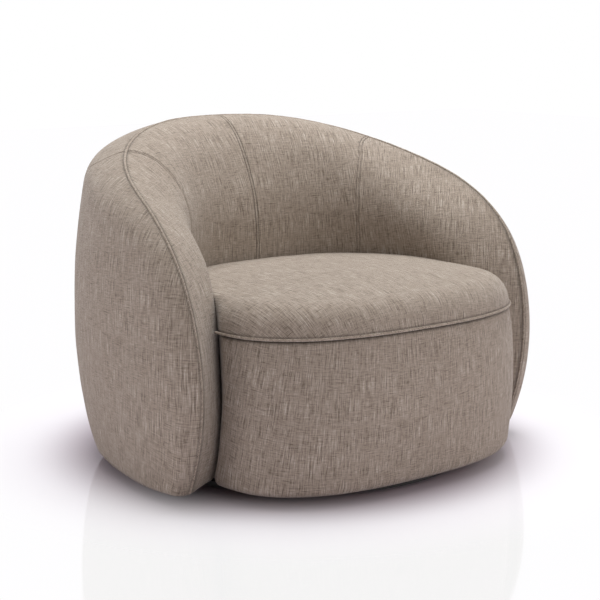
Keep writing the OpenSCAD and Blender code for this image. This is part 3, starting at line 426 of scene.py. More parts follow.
def linen(name, dark, middle, light, turn=0.0, relief=1.0):
    """Heathered linen-look cloth: uneven yarns both ways, slubs, a fine plain weave and slow mottling, with
    painted shade in its seams.
    """
    n = Nodes(name)
    uv = n.add("ShaderNodeUVMap", uv_map="cloth").outputs[0]
    if turn:
        uv = n.add("ShaderNodeMapping", {"Vector": uv, "Rotation": (0, 0, math.radians(turn))}).outputs[0]
    # The yarns wander a little, so the streaks aren't ruled lines.
    wander = n.add("ShaderNodeTexNoise", {"Vector": uv, "Scale": 26.0, "Detail": 2.0})
    bend = n.add("ShaderNodeVectorMath", {0: wander.outputs[1], 1: (0.5, 0.5, 0.5)}, operation="SUBTRACT")
    bend = n.add("ShaderNodeVectorMath", {0: bend.outputs[0], "Scale": 0.0035}, operation="SCALE")
    uv2 = n.add("ShaderNodeVectorMath", {0: uv, 1: bend.outputs[0]}, operation="ADD").outputs[0]
    warp = n.noise(uv2, (480, 19, 1), detail=3.0, rough=0.6)
    weft = n.noise(uv2, (24, 460, 1), detail=3.0, rough=0.6)
    warp_fine = n.noise(uv2, (900, 60, 1), detail=2.0, rough=0.6)
    weft_fine = n.noise(uv2, (75, 900, 1), detail=2.0, rough=0.6)
    patches = n.noise(uv, (1, 1, 1), size=19.0, detail=3.0, rough=0.55)
    mottle = n.noise(uv, (1, 1, 1), size=80.0, detail=3.0, rough=0.6)
    slub_v = n.ramp(n.noise(uv2, (420, 24, 1), detail=1.0), 0.66, 0.76)
    slub_h = n.ramp(n.noise(uv2, (24, 420, 1), detail=1.0), 0.65, 0.76)
    pick_v = n.ramp(n.noise(uv2, (560, 28, 1), detail=1.0), 0.40, 0.28)
    pick_h = n.ramp(n.noise(uv2, (36, 520, 1), detail=1.0), 0.37, 0.27)
    # Where the warp shows and where the weft shows changes slowly over the cloth.
    which = n.ramp(patches, 0.42, 0.60)
    warp_share = n.math("MULTIPLY_ADD", which, 0.9, 1.35)
    weft_share = n.math("MULTIPLY_ADD", which, -0.65, 1.0)
    streak = n.math("MULTIPLY", n.math("SUBTRACT", warp, 0.5), warp_share)
    streak2 = n.math("MULTIPLY", n.math("SUBTRACT", weft, 0.5), weft_share)
    fine = n.math("ADD", n.math("SUBTRACT", warp_fine, 0.5), n.math("SUBTRACT", weft_fine, 0.5))
    tone = n.math("ADD", n.math("ADD", streak, streak2), fine)
    tone = n.math("ADD", tone, n.math("MULTIPLY", n.math("SUBTRACT", mottle, 0.5), 0.30))
    tone = n.math("ADD", tone, n.math("MULTIPLY", n.math("SUBTRACT", patches, 0.5), 0.22))
    tone = n.math("ADD", tone, n.math("MULTIPLY", n.math("ADD", slub_v, slub_h), 0.16))
    tone = n.math("SUBTRACT", tone, n.math("MULTIPLY", n.math("ADD", pick_v, pick_h), 0.30))
    # Plain weave
    parts = n.add("ShaderNodeSeparateXYZ", {0: uv2})
    k = 2 * math.pi / WEAVE_PITCH
    over = n.math("MULTIPLY", n.math("SINE", n.math("MULTIPLY", parts.outputs[0], k)),
                  n.math("SINE", n.math("MULTIPLY", parts.outputs[1], k)))
    tone = n.math("ADD", tone, n.math("MULTIPLY", over, 0.06))
    up = n.ramp(tone, 0.0, 0.58)
    down = n.ramp(tone, 0.04, -0.56)
    colour = n.shade(n.shade(middle, light, up), dark, down)
    # Painted shade in the seams and along the piping, read from the mesh's attribute
    painted_seam_shade = n.add("ShaderNodeAttribute", attribute_name="painted_seam_shade").outputs["Fac"]
    shadow = rgb(*(0.30 * c for c in dark[:3]))
    colour = n.shade(colour, shadow, n.math("MULTIPLY", painted_seam_shade, 0.92))
    yarns = n.math("MULTIPLY", n.math("ADD", warp_fine, weft_fine), 0.6)
    height = n.math("ADD", n.math("MULTIPLY", over, 0.22), yarns)
    height = n.math("ADD", height, n.math("MULTIPLY", n.math("ADD", slub_v, slub_h), 0.5))
    height = n.math("SUBTRACT", height, n.math("MULTIPLY", n.math("ADD", pick_v, pick_h), 0.5))
    height = n.math("ADD", height, n.math("MULTIPLY", n.math("ADD", warp, weft), 0.8))
    bump = n.add("ShaderNodeBump", {"Height": height, "Strength": 0.6 * relief, "Distance": 0.0008})
    rough = n.math("MULTIPLY_ADD", tone, 0.05, 0.92)
    return n.finish(Base_Color=colour, Roughness=rough, Normal=bump.outputs[0], Specular_IOR_Level=0.15,
                    Sheen_Weight=0.22, Sheen_Roughness=0.4, Sheen_Tint=rgb(0.98, 0.97, 0.96))


def plain(name, colour, rough=0.5, metal=0.0, vary=0.08, size=60.0, bump=0.0, bump_size=400.0, spec=0.5):
    """A uniform material with slow variation and a fine relief."""
    n = Nodes(name)
    where = n.add("ShaderNodeTexCoord").outputs["Object"]
    slow = n.noise(where, (1, 1, 1), size=size, detail=4.0)
    darker = rgb(*(c * (1 - 2 * vary) for c in colour[:3]))
    lighter = rgb(*(min(1.0, c * (1 + 2 * vary)) for c in colour[:3]))
    tone = n.shade(darker, lighter, slow)
    r = n.math("MULTIPLY_ADD", slow, 0.16, rough - 0.08)
    inputs = {"Base_Color": tone, "Roughness": r, "Metallic": metal, "Specular_IOR_Level": spec}
    if bump:
        fine = n.noise(where, (1, 1, 1), size=bump_size, detail=3.0)
        relief = n.add("ShaderNodeBump", {"Height": fine, "Strength": bump, "Distance": 0.0005})
        inputs["Normal"] = relief.outputs[0]
    return n.finish(**inputs)


def wood(name, light, dark, rough=0.6, grain=(3.0, 40.0, 220.0)):
    """Plywood: long grain and thin veneer lines."""
    n = Nodes(name)
    where = n.add("ShaderNodeTexCoord").outputs["Object"]
    long_grain = n.noise(where, grain, detail=4.0, rough=0.6)
    veneer = n.noise(where, (1, 1, 330), detail=1.0)
    tone = n.math("ADD", n.math("MULTIPLY", long_grain, 0.75), n.math("MULTIPLY", veneer, 0.25))
    colour = n.shade(light, dark, n.ramp(tone, 0.35, 0.70))
    bump = n.add("ShaderNodeBump", {"Height": tone, "Strength": 0.2, "Distance": 0.0004})
    return n.finish(Base_Color=colour, Roughness=rough, Normal=bump.outputs[0])


DARK = rgb(0.132, 0.103, 0.080)
MIDDLE = rgb(0.315, 0.257, 0.210)
LIGHT = rgb(0.49, 0.428, 0.370)
LINEN = linen("linen_taupe", DARK, MIDDLE, LIGHT)
PIPING = linen("linen_piping", DARK, MIDDLE, LIGHT, turn=45, relief=0.7)
THREAD = plain("sewing_thread", rgb(0.16, 0.13, 0.105), rough=0.6, vary=0.1, size=900.0)

# The shell's skin as one grid: columns run from the left foot round the back to the right foot,
# rows from the inner foot over the welt line to the outer foot
ROWS = 80
# About half the length of the welt line, to place columns by their distance from a seam
AROUND = 1.30
SEAM_ZONE = 0.019
NOSE_LIFT, NOSE_RUN, NOSE_FLAT = 0.010, 0.050, 0.010


def half_columns():
    """Shares along the welt line from a foot to the middle of the back, dense by each seam."""
    base = list(np.concatenate([
        np.linspace(0.0015, 0.05, 12)[:-1],
        np.linspace(0.05, 1.0, 104),
    ]))
    near = np.concatenate([np.arange(0, 0.0125, 0.0009), [0.0135, 0.0155]])
    keep = [s for s in base if abs(s - SEAM) > SEAM_ZONE / AROUND and 1 - s > SEAM_ZONE / AROUND]
    extra = [SEAM + w * d / AROUND for d in near for w in (-1, 1)] + [1 - d / AROUND for d in near]
    return np.array(sorted(set(np.round(keep + extra, 9))))


HALF_S = half_columns()
SEAM_C = int(np.argmin(np.abs(HALF_S - SEAM)))
LAST = len(HALF_S) - 1


def row_depths(length, thick, reach):
    """Shares of the way down for each row, dense by the welt line when measured on the cloth."""
    d = length[:, None] * np.linspace(0, 1, 500) ** 2
    slope = 3 * thick[:, None] / reach[:, None] * (1 - np.minimum(d / reach[:, None], 1)) ** 2
    step = np.diff(d) * np.hypot(1, (slope[:, 1:] + slope[:, :-1]) / 2)
    run = np.concatenate([np.zeros((len(d), 1)), np.cumsum(step, axis=1)], axis=1)
    t = np.arange(ROWS + 1) / ROWS
    near = np.minimum(0.05, 0.5 * run[:, -1])
    want = near[:, None] * t + (run[:, -1] - near)[:, None] * t**1.9
    return np.stack([np.interp(w, r, x) for w, r, x in zip(want, run, d)]) / length[:, None]


def shell_grid():
    """The whole shell: the right half worked out, the left half mirrored."""
    s = HALF_S
    length = np.linalg.norm(column(s, np.ones_like(s))[0] - column(s, np.zeros_like(s))[0], axis=-1)
    q = row_depths(length, *depths_of(s, 1))
    sg = s[:, None] + 0 * q
    hold = ease((length - 0.012) / 0.05)[:, None] * (1 - (np.arange(ROWS + 1) / ROWS) ** 3)
    outer = skin_point(*squared_off(sg, swept(sg, q), q, q * length[:, None], hold), 1)
    q = row_depths(length, *depths_of(s, -1))
    # The lower edge rises round the arm's nose, and inside the chair it stays on the floor board.
    feet = skin_point(s, np.ones_like(s), -1)
    far = np.clip((np.linalg.norm(feet - feet[0], axis=-1) - NOSE_FLAT) / NOSE_RUN, 0, 1)
    lift = NOSE_LIFT * (1 - np.sqrt(1 - far**2))
    to_board = (BOARD_TOP - SKIRT_Z) * ease((s - 0.20) / 0.08)
    foot_z = np.minimum(BOARD_TOP, SKIRT_Z + np.maximum(lift, to_board))
    share = np.clip((rim_z(s) - foot_z) / (rim_z(s) - SKIRT_Z), 0.05, 1)
    inner = skin_point(*squared_off(sg, sg, q * share[:, None], q * length[:, None], hold), -1)
    outer[:, 0] = inner[:, 0] = rim_point(s)
    half = np.concatenate([inner[:, ::-1], outer[:, 1:]], axis=1)
    return np.concatenate([half * TO_LEFT, half[::-1][1:]], axis=0)


BASE = shell_grid()
NORMAL = grid_normals(BASE)
RIM = ROWS


def rim_normals():
    """At the welt the two sides count alike, however steep each is."""
    along = unit(np.gradient(BASE[:, RIM], axis=0))
    across = unit(BASE[:, RIM + 4] - BASE[:, RIM]) - unit(BASE[:, RIM - 4] - BASE[:, RIM])
    out = unit(np.cross(along, unit(across)))
    out = out * np.sign((out * NORMAL[:, RIM]).sum(-1, keepdims=True))
    for k in range(-6, 7):
        w = 1 - abs(k) / 7
        NORMAL[:, RIM + k] = unit(mix(NORMAL[:, RIM + k], out, w))


rim_normals()
COLUMNS = len(BASE)
SEAM_L, SEAM_R, MIDDLE_C = SEAM_C, COLUMNS - 1 - SEAM_C, LAST


def line_distance(c):
    """Signed distance of every grid point from the column c along its row."""
    return np.linalg.norm(BASE - BASE[c][None], axis=-1) * np.sign(np.arange(COLUMNS) - c)[:, None]


WELT_LINE = rim_point(np.linspace(0, 1, 900))
WELT_LINE = np.concatenate([WELT_LINE, WELT_LINE[::-1] * TO_LEFT])


def welt_distance(points):
    """Distance of points from the welt line."""
    flat = points.reshape(-1, 3)
    parts = np.array_split(flat, 60)
    near = [((part[:, None] - WELT_LINE[None]) ** 2).sum(-1).min(1) for part in parts]
    return np.sqrt(np.concatenate(near)).reshape(points.shape[:-1])


WELT_D = welt_distance(BASE)
D_L, D_M, D_R = line_distance(SEAM_L), line_distance(MIDDLE_C), line_distance(SEAM_R)
SHARE = np.concatenate([HALF_S, HALF_S[::-1][1:]])[:, None]
OUTSIDE = np.arange(2 * ROWS + 1)[None, :] > RIM


def groove(d, depth, width):
    return depth * np.exp(-((d / width) ** 2))


def past_nose(start, length):
    """0 at the arms' noses and 1 round the back, easing over a stretch of the welt line in shares."""
    return ease((SHARE - start) / length)


# Depth and width of each channel in the cloth, and the width of the painted shade line along it
WELT_CHANNEL, WELT_SHADE_WIDTH, NOSE_SHADE_WIDTH = (0.0042, 0.0036), 0.0048, 0.0022
SEAM_CHANNEL, SEAM_SHADE_WIDTH = (0.0028, 0.0016), 0.0015
LAP_DEPTH, LAP_WIDTH = 0.0018, 0.0013
# Cloth lies calm this near to a seam, and the unevenness of each panel is given as size, height and shift.
CALM = 0.05
SHELL_WAVES = ((0.115, 0.0013, 0.0), (0.055, 0.0006, 5.3))
SHELL_PUCKER, PUCKER_BY_SEAM, PUCKER_BY_WELT = (0.011, 0.00035, 2.1), 0.012, 0.014


def dressed_skin():
    """The skin with its seams drawn in, light puckers beside them and slow unevenness, and the painted
    shade along the welt and the seams.
    """
    down = groove(WELT_D, *WELT_CHANNEL)
    nose = 1 - past_nose(0.25, 0.3)
    # Painted shade along the welt, wider inside round the arms' noses, and below it painted shade in the
    # seams
    dark = groove(WELT_D, 1.0, WELT_SHADE_WIDTH + np.where(OUTSIDE, 0, NOSE_SHADE_WIDTH) * nose)
    fade = ease((WELT_D - 0.002) / 0.006)
    for d in (D_L, D_R):
        down = down + np.where(OUTSIDE, groove(d, *SEAM_CHANNEL), 0) * fade
        dark = dark + np.where(OUTSIDE, groove(d, 1.0, SEAM_SHADE_WIDTH), 0)
    for d in (D_L, D_M, D_R):
        lap = groove(d - STITCH_OFF, 1.0, LAP_WIDTH) + groove(d + STITCH_OFF, 1.0, LAP_WIDTH)
        down = down + np.where(OUTSIDE, 0, lap) * LAP_DEPTH * fade
        dark = dark + np.where(OUTSIDE, 0, lap)
    side_seam = np.minimum(np.abs(D_L), np.abs(D_R))
    seam = np.minimum(np.where(OUTSIDE, FAR_AWAY, np.abs(D_M)), side_seam)
    calm = ease(WELT_D / CALM) * ease(seam / CALM)
    near = np.exp(-seam / PUCKER_BY_SEAM) + np.exp(-WELT_D / PUCKER_BY_WELT)
    uneven = calm * waves(BASE, *SHELL_WAVES) + waves(BASE, SHELL_PUCKER) * near
    return BASE + NORMAL * (uneven - down)[..., None], dark


SKIN, PAINTED_SHADE_MAP = dressed_skin()


FOOT_BULGE, FOOT_BULGE_H = 0.0015, 0.06
# The share of its radius by which the lower edge draws in
FOOT_DRAW = 0.85


def rounded_foot(g, n, r):
    """Rounds the lower edge, with a slight bulge above it."""
    e = np.clip((g[..., 2] - SKIRT_Z) / r, 0, 1)
    level = n * np.array([1, 1, 0])
    swell = FOOT_BULGE * ease(1 - (g[..., 2] - SKIRT_Z) / FOOT_BULGE_H)
    return g + unit(level) * (swell - FOOT_DRAW * r * (1 - np.sqrt(1 - (1 - e) ** 2)))[..., None]


# Radius of the lower edge, and what the noses add all round, outside and inside
FOOT_R, NOSE_FOOT_R, NOSE_FOOT_OUT, NOSE_FOOT_IN = 0.007, 0.006, 0.002, 0.010
NOSE_FOOT_REACH = 0.06


def foot_radius():
    """The arms' noses are rounded most, on the side that faces the seat."""
    nose = 1 - past_nose(0.05, 0.17)
    more = np.where(OUTSIDE, NOSE_FOOT_OUT, NOSE_FOOT_IN) * ease(WELT_D / NOSE_FOOT_REACH)
    return FOOT_R + nose * (NOSE_FOOT_R + more)


ROUNDED = rounded_foot(SKIN, NORMAL, foot_radius())


# How far under and how high above the edge each row of turned cloth lies
TURNED = ((0.004, 0.0002), (0.012, 0.0006), (0.026, 0.0016))


def under(edge, normal):
    """Rows of cloth turned under the lower edge."""
    level = unit(normal * np.array([1, 1, 0]))
    return np.stack([edge - level * d + np.array([0, 0, lift]) for d, lift in TURNED], 1)


def shell_piece(name, c0, c1, outer, stands_for):
    """One panel of the shell's cloth, between two columns, outside or inside the welt."""
    k0, k1 = (RIM, 2 * ROWS) if outer else (0, RIM)
    g = ROUNDED[c0 : c1 + 1, k0 : k1 + 1]
    n = NORMAL[c0 : c1 + 1]
    # The panel's painted seam shade, and none on the rows turned under
    dark = PAINTED_SHADE_MAP[c0 : c1 + 1, k0 : k1 + 1]
    plain_rows = np.zeros((len(g), len(TURNED)))
    dark = np.concatenate([dark, plain_rows] if outer else [plain_rows, dark], axis=1)
    if outer:
        g = np.concatenate([g, under(g[:, -1], n[:, -1])], axis=1)
    else:
        g = np.concatenate([under(g[:, 0], n[:, 0])[:, ::-1], g], axis=1)
    obj = grid_mesh(name, shifted(g))
    set_painted_shade(obj, dark)
    lay_out(obj)
    thicken(obj)
    return settle(obj, "chair", stands_for, LINEN)


shell_piece("outer_arm_cloth_left", 0, SEAM_L, True,
            ["outer_cover_left", "outer_pad_left", "arm_nose_left"])
shell_piece("outer_back_cloth", SEAM_L, SEAM_R, True, ["outer_cover_back"])
shell_piece("outer_arm_cloth_right", SEAM_R, COLUMNS - 1, True,
            ["outer_cover_right", "outer_pad_right", "arm_nose_right"])
shell_piece("inner_arm_cloth_left", 0, SEAM_L, False, ["inner_cover_arm_left", "arm_pad_left"])
shell_piece("inner_back_cloth_left", SEAM_L, MIDDLE_C, False,
            ["inner_cover_back_left", "back_pad_left", "rim_roll_left"])
shell_piece("inner_back_cloth_right", MIDDLE_C, SEAM_R, False,
            ["inner_cover_back_right", "back_pad_right", "rim_roll_right"])
shell_piece("inner_arm_cloth_right", SEAM_R, COLUMNS - 1, False, ["inner_cover_arm_right", "arm_pad_right"])


# Piping: a cord in a bias-cut strip
def lengths_of(path):
    return np.concatenate([[0], np.cumsum(np.linalg.norm(np.diff(path, axis=0), axis=1))])


def resample_like(values, path, t):
    """The values at lengths t along the path."""
    length = lengths_of(path)
    return np.stack([np.interp(t, length, values[:, i]) for i in range(3)], 1)


def resample(path, step):
    """Points of the path at even steps, and their lengths along it."""
    total = lengths_of(path)[-1]
    t = np.linspace(0, total, max(8, int(total / step)))
    return resample_like(path, path, t), t


TUBE_SIDES = 14
TUBE_STEP = 0.004
TUBE_END_SHARE = 0.55


def tube(name, path, outs, r):
    """A round tube of slightly uneven thickness along a path, with its ends drawn in."""
    centre, t = resample(path, TUBE_STEP)
    out = unit(resample_like(outs, path, t))
    d = unit(np.gradient(centre, axis=0))
    u = unit(out - (out * d).sum(-1, keepdims=True) * d)
    v = np.cross(d, u)
    a = (np.arange(TUBE_SIDES) * 2 * math.pi / TUBE_SIDES)[None, :, None]
    rr = r * (1 + 0.035 * noise(centre, 0.02, 1.7))
    round_it = u[:, None] * np.cos(a) + v[:, None] * np.sin(a)
    ring = centre[:, None] + rr[:, None, None] * round_it
    for end in (0, -1):
        ring[end] = centre[end] + (ring[end] - centre[end]) * TUBE_END_SHARE
    nc, nk = ring.shape[:2]
    faces = [(c * nk + k, c * nk + (k + 1) % nk, (c + 1) * nk + (k + 1) % nk, (c + 1) * nk + k)
             for c in range(nc - 1) for k in range(nk)]
    faces += [tuple(range(nk))[::-1], tuple((nc - 1) * nk + k for k in range(nk))]
    obj = add_mesh(name, shifted(ring).reshape(-1, 3), faces)
    layer = obj.data.uv_layers.new(name="cloth")
    for poly in obj.data.polygons:
        # The face that closes a ring ends at a full turn, not at none.
        closing = len(poly.vertices) == 4 and max(x % nk for x in poly.vertices) == nk - 1
        for li in poly.loop_indices:
            c, k = divmod(obj.data.loops[li].vertex_index, nk)
            k = nk if k == 0 and closing else k
            layer.data[li].uv = (k / nk * 2 * math.pi * r, t[c])
    return obj


# The piping stands out further round the back than at the noses.
NOSE_STAND, BACK_STAND = 0.0025, 0.0036


def shell_piping():
    stand = mix(NOSE_STAND, BACK_STAND, past_nose(0.25, 0.35))
    obj = tube("shell_piping", ROUNDED[:, RIM] + NORMAL[:, RIM] * stand, NORMAL[:, RIM], SHELL_WELT_R)
    return settle(obj, "chair", ["shell_welt"], PIPING)


shell_piping()


# The seat: its plan is measured from the middle of its widest line
def inner_line(z):
    """The shell's inner face at a height, as points from the arm to just past the middle of the back."""
    s = np.linspace(0.0015, 1, 500)
    ok = rim_z(s) > z + 1e-4
    s = s[ok]
    q = (rim_z(s) - z) / (rim_z(s) - SKIRT_Z)
    pts = skin_point(s, q, -1)[:, :2]
    return np.concatenate([pts, pts[-2:-1] * np.array([-1, 1])])


def shell_reach(z, angles):
    """Distance from the seat's middle to the shell's inner face, from -90 ahead to 90 behind."""
    line = inner_line(z) - np.array([0, SEAT_Y])
    p, run = line[:-1], np.diff(line, axis=0)
    d = np.stack([np.cos(angles), np.sin(angles)], -1)
    det = d[:, None, 0] * run[None, :, 1] - d[:, None, 1] * run[None, :, 0]
    det = np.where(np.abs(det) < 1e-12, 1e-12, det)
    t = (p[None, :, 0] * run[None, :, 1] - p[None, :, 1] * run[None, :, 0]) / det
    u = (p[None, :, 0] * d[:, None, 1] - p[None, :, 1] * d[:, None, 0]) / det
    hit = np.where((u > -1e-6) & (u < 1 + 1e-6) & (t > 0), t, FAR_AWAY)
    return hit.min(1)


def front_reach(angles, grow):
    """Distance from the seat's middle to its free outline; behind the middle it runs straight back."""
    w, f = SEAT_W + grow, SEAT_FRONT + grow
    c, s = np.abs(np.cos(angles)), np.sin(angles)
    free = ((c / w) ** SEAT_POWER + (np.abs(s) / f) ** SEAT_POWER) ** (-1 / SEAT_POWER)
    return np.where(s < 0, free, np.minimum(FAR_AWAY, w / np.maximum(c, 1e-3)))


def front_grow(z):
    u = np.clip((z - SKIRT_Z) / (SEAT_WELT_H - SKIRT_Z), 0, 1)
    return 4 * FRONT_SWELL * u * (1 - u) - FRONT_TUCK * (1 - u)


def soft_min(a, b, r):
    """The smaller of two lengths, with the corner between them rounded."""
    h = np.maximum(r - np.abs(a - b), 0) / r
    return np.minimum(a, b) - h * h * r / 4


# The corner between the drum and the arms is rounded most in front.
SEAT_ROUND_FRONT, SEAT_ROUND_BACK = 0.05, 0.006
TURN = np.linspace(-1, 1, 181)
HALF_A = np.radians(90 * np.sign(TURN) * np.abs(TURN) ** 1.35)


def ring(z, grow):
    """Half of the seat's outline at a height, from the middle of the front to the middle of the back."""
    shell = shell_reach(z, HALF_A)
    behind = ease((HALF_A + math.radians(2)) / math.radians(14))
    round_in = mix(SEAT_ROUND_FRONT, SEAT_ROUND_BACK, behind)
    reach = soft_min(front_reach(HALF_A, grow), shell - SEAT_GAP, round_in)
    return np.stack([reach * np.cos(HALF_A), SEAT_Y + reach * np.sin(HALF_A), z + 0 * reach], -1)


def both_sides(half):
    return np.concatenate([half, (half * TO_LEFT)[::-1][1:-1]])


EDGE_RINGS, CROWN_RINGS = 22, 40
# Where the shell hides the edge it rolls down with this radius, over this height of the roll.
HELD_ROLL, HELD_H, HELD_EASE = 0.011, 0.03, 0.02


def seat_top():
    """Rings from the welt up over the rolled edge and the crown to the middle."""
    rings, kinds = [], []
    for a in np.radians(np.linspace(0, 90, EDGE_RINGS)):
        z = SEAT_WELT_H + EDGE_RISE * math.sin(a) + WELT_SLOT * (1 - math.sin(a))
        rings.append(both_sides(ring(z, -EDGE_ROLL * (1 - math.cos(a)))))
        kinds.append(0.0)
    edge = rings[-1]
    mid = np.array([0, SEAT_Y, SEAT_WELT_H + EDGE_RISE])
    for share in 1 - np.linspace(0, 1, CROWN_RINGS)[1:-1] ** 1.15:
        p = mid + (edge - mid) * share
        p[:, 2] += CROWN * (1 - share * share)
        rings.append(p)
        kinds.append(1 - share)
    top = np.stack(rings, 1)
    # Against the shell the edge rolls down a little before it is hidden.
    reach = np.linalg.norm(edge[:, :2] - mid[None, :2], axis=1)
    free = front_reach(np.concatenate([HALF_A, math.pi - HALF_A[::-1][1:-1]]), -EDGE_ROLL)
    held = ease((free - reach) / HELD_EASE)
    dist = np.array(kinds)[None, :] * reach[:, None]
    in_roll = HELD_ROLL - np.minimum(dist, HELD_ROLL)
    drop = HELD_ROLL - np.sqrt(np.maximum(0, HELD_ROLL**2 - in_roll**2))
    drop[:, :EDGE_RINGS] = HELD_ROLL
    high = top[..., 2] > SEAT_WELT_H + EDGE_RISE - HELD_H
    fade = ease((top[..., 2] - SEAT_WELT_H - HELD_H) / HELD_H)
    top[..., 2] -= np.where(high, drop, 0) * held[:, None] * fade
    return top, mid + np.array([0, 0, CROWN])


SEAT_WAVES = ((0.12, 0.0016, 3.1), (0.05, 0.0007, 8.2))
SEAT_PUCKER, SEAT_PUCKER_BY_WELT = (0.013, 0.0005, 4.4), 0.016
SEAT_CHANNEL = (0.0020, 0.0040)


def seat_cloth():
    top, tip = seat_top()
    nc, nk = top.shape[:2]
    n = -grid_normals(np.concatenate([top[-1:], top, top[:1]]))[1:-1]
    from_welt = np.linalg.norm(top - top[:, :1], axis=-1)
    pucker = waves(top, SEAT_PUCKER) * np.exp(-from_welt / SEAT_PUCKER_BY_WELT)
    uneven = waves(top, *SEAT_WAVES) * ease(from_welt / CALM) + pucker
    g = top + n * (uneven - groove(from_welt, *SEAT_CHANNEL))[..., None]
    verts = np.concatenate([shifted(g).reshape(-1, 3), shifted(tip)[None]])
    faces = []
    for c in range(nc):
        c2 = (c + 1) % nc
        faces += [(c * nk + k, c2 * nk + k, c2 * nk + k + 1, c * nk + k + 1) for k in range(nk - 1)]
        faces.append((c * nk + nk - 1, c2 * nk + nk - 1, nc * nk))
    obj = add_mesh("seat_cloth", verts, faces)
    # Painted shade along the welt at the seat's edge
    set_painted_shade(obj, np.append(groove(from_welt, 0.45, 0.0035).ravel(), 0.0))
    lay_out(obj, up=1)
    thicken(obj)
    return settle(obj, "chair", ["seat_cover", "seat_foam"], LINEN)


seat_cloth()

# The front panel ends out of sight behind the arms' noses.
FRONT_END = math.radians(8)
FRONT_COLUMNS = int((HALF_A < FRONT_END).sum())
FRONT_ROWS = 60
FRONT_FOOT_R = 0.026
FRONT_WAVES = ((0.13, 0.0018, 6.6), (0.055, 0.0008, 1.2))
FRONT_PUCKER, FRONT_PUCKER_BY_WELT = (0.013, 0.0005, 9.4), 0.018
# Depth and width of the channel under the welt, and the width of the painted shade along it
FRONT_CHANNEL, FRONT_SHADE_WIDTH = (0.0030, 0.0040), 0.0040


def front_cloth():
    """The drum's front panel, from behind one arm's nose to behind the other."""
    t = np.linspace(0, 1, FRONT_ROWS)
    top_z = SEAT_WELT_H - WELT_SLOT
    heights = top_z - (top_z - SKIRT_Z) * (0.25 * t + 0.75 * t**1.25)
    half = np.stack([ring(z, float(front_grow(z)))[:FRONT_COLUMNS] for z in heights], 1)
    g = np.concatenate([(half * TO_LEFT)[::-1], half[1:]])
    n = grid_normals(g)
    n = -n if n[len(n) // 2, FRONT_ROWS // 2, 1] > 0 else n
    from_welt = np.linalg.norm(g - g[:, :1], axis=-1)
    pucker = waves(g, FRONT_PUCKER) * np.exp(-from_welt / FRONT_PUCKER_BY_WELT)
    uneven = waves(g, *FRONT_WAVES) * ease(from_welt / CALM) + pucker
    g = g + n * (uneven - groove(from_welt, *FRONT_CHANNEL))[..., None]
    g = rounded_foot(g, n, FRONT_FOOT_R)
    g = np.concatenate([g, under(g[:, -1], n[:, -1])], axis=1)
    obj = grid_mesh("seat_front_cloth", shifted(g))
    plain_rows = np.zeros((len(g), len(TURNED)))
    # Painted shade along the welt at the top of the panel, none on the turned-under rows
    set_painted_shade(obj, np.concatenate([groove(from_welt, 1.0, FRONT_SHADE_WIDTH), plain_rows], axis=1))
    lay_out(obj)
    thicken(obj)
    return settle(obj, "chair", ["front_cover", "front_pad"], LINEN)


front_cloth()


SEAT_WELT_STAND = 0.0016


def seat_piping():
    shell = shell_reach(SEAT_WELT_H, HALF_A)
    free = front_reach(HALF_A, 0.0)
    a = HALF_A[(shell - free) > SEAT_GAP + 1.3 * SEAT_WELT_R]
    a = np.concatenate([-math.pi - a[::-1][:-1], a])
    r = front_reach(a, SEAT_WELT_STAND)
    path = np.stack([r * np.cos(a), SEAT_Y + r * np.sin(a), SEAT_WELT_H + 0 * a], -1)
    outs = np.stack([np.cos(a), np.sin(a), 0 * a], -1)
    obj = tube("seat_piping", path, outs, SEAT_WELT_R)
    return settle(obj, "chair", ["seat_welt"], PIPING)


seat_piping()


# Top stitching on both sides of the inner seams
# Each stitch is four rings: their places along it in shares, their lift and their share of its radius.
STITCH_RINGS = ((-0.40, -0.0004, 0.5), (-0.22, 0.0001, 1), (0.22, 0.0001, 1), (0.40, -0.0004, 0.5))
STITCH_SIDES = 6


def add_stitch(verts, faces, middle, d, u):
    """A short thread along d that stands up along u."""
    v = np.cross(d, u)
    base = len(verts)
    for share, lift, r in STITCH_RINGS:
        centre = middle + d * STITCH_STEP * share + u * lift
        for m in range(STITCH_SIDES):
            a = m * 2 * math.pi / STITCH_SIDES
            verts.append(centre + (u * math.cos(a) + v * math.sin(a)) * STITCH_R * r)
    for j in range(len(STITCH_RINGS) - 1):
        low = base + j * STITCH_SIDES
        high = low + STITCH_SIDES
        for m in range(STITCH_SIDES):
            m2 = (m + 1) % STITCH_SIDES
            faces.append((low + m, low + m2, high + m2, high + m))
    last = base + (len(STITCH_RINGS) - 1) * STITCH_SIDES
    faces.append(tuple(base + m for m in range(STITCH_SIDES))[::-1])
    faces.append(tuple(last + m for m in range(STITCH_SIDES)))


def stitches(name, c):
    """Two rows of stitches along an inner seam, down to where the seat hides it."""
    verts, faces = [], []
    for side in (-1, 1):
        col, nor = BASE[c, : RIM + 1][::-1], NORMAL[c, : RIM + 1][::-1]
        along = unit(BASE[c + 2, : RIM + 1] - BASE[c - 2, : RIM + 1])[::-1]
        line = col + along * side * STITCH_OFF - nor * STITCH_SINK
        path, t = resample(line, STITCH_STEP)
        nrm = unit(resample_like(nor, line, t))
        for i in range(2, len(path) - 1):
            if path[i][2] < STITCH_END_Z:
                break
            add_stitch(verts, faces, path[i], unit(path[i + 1] - path[i]), nrm[i])
    obj = add_mesh(name, shifted(np.array(verts)), faces)
    return settle(obj, "chair", [], THREAD)


stitches("stitching_left", SEAM_L)
stitches("stitching_middle", MIDDLE_C)
stitches("stitching_right", SEAM_R)

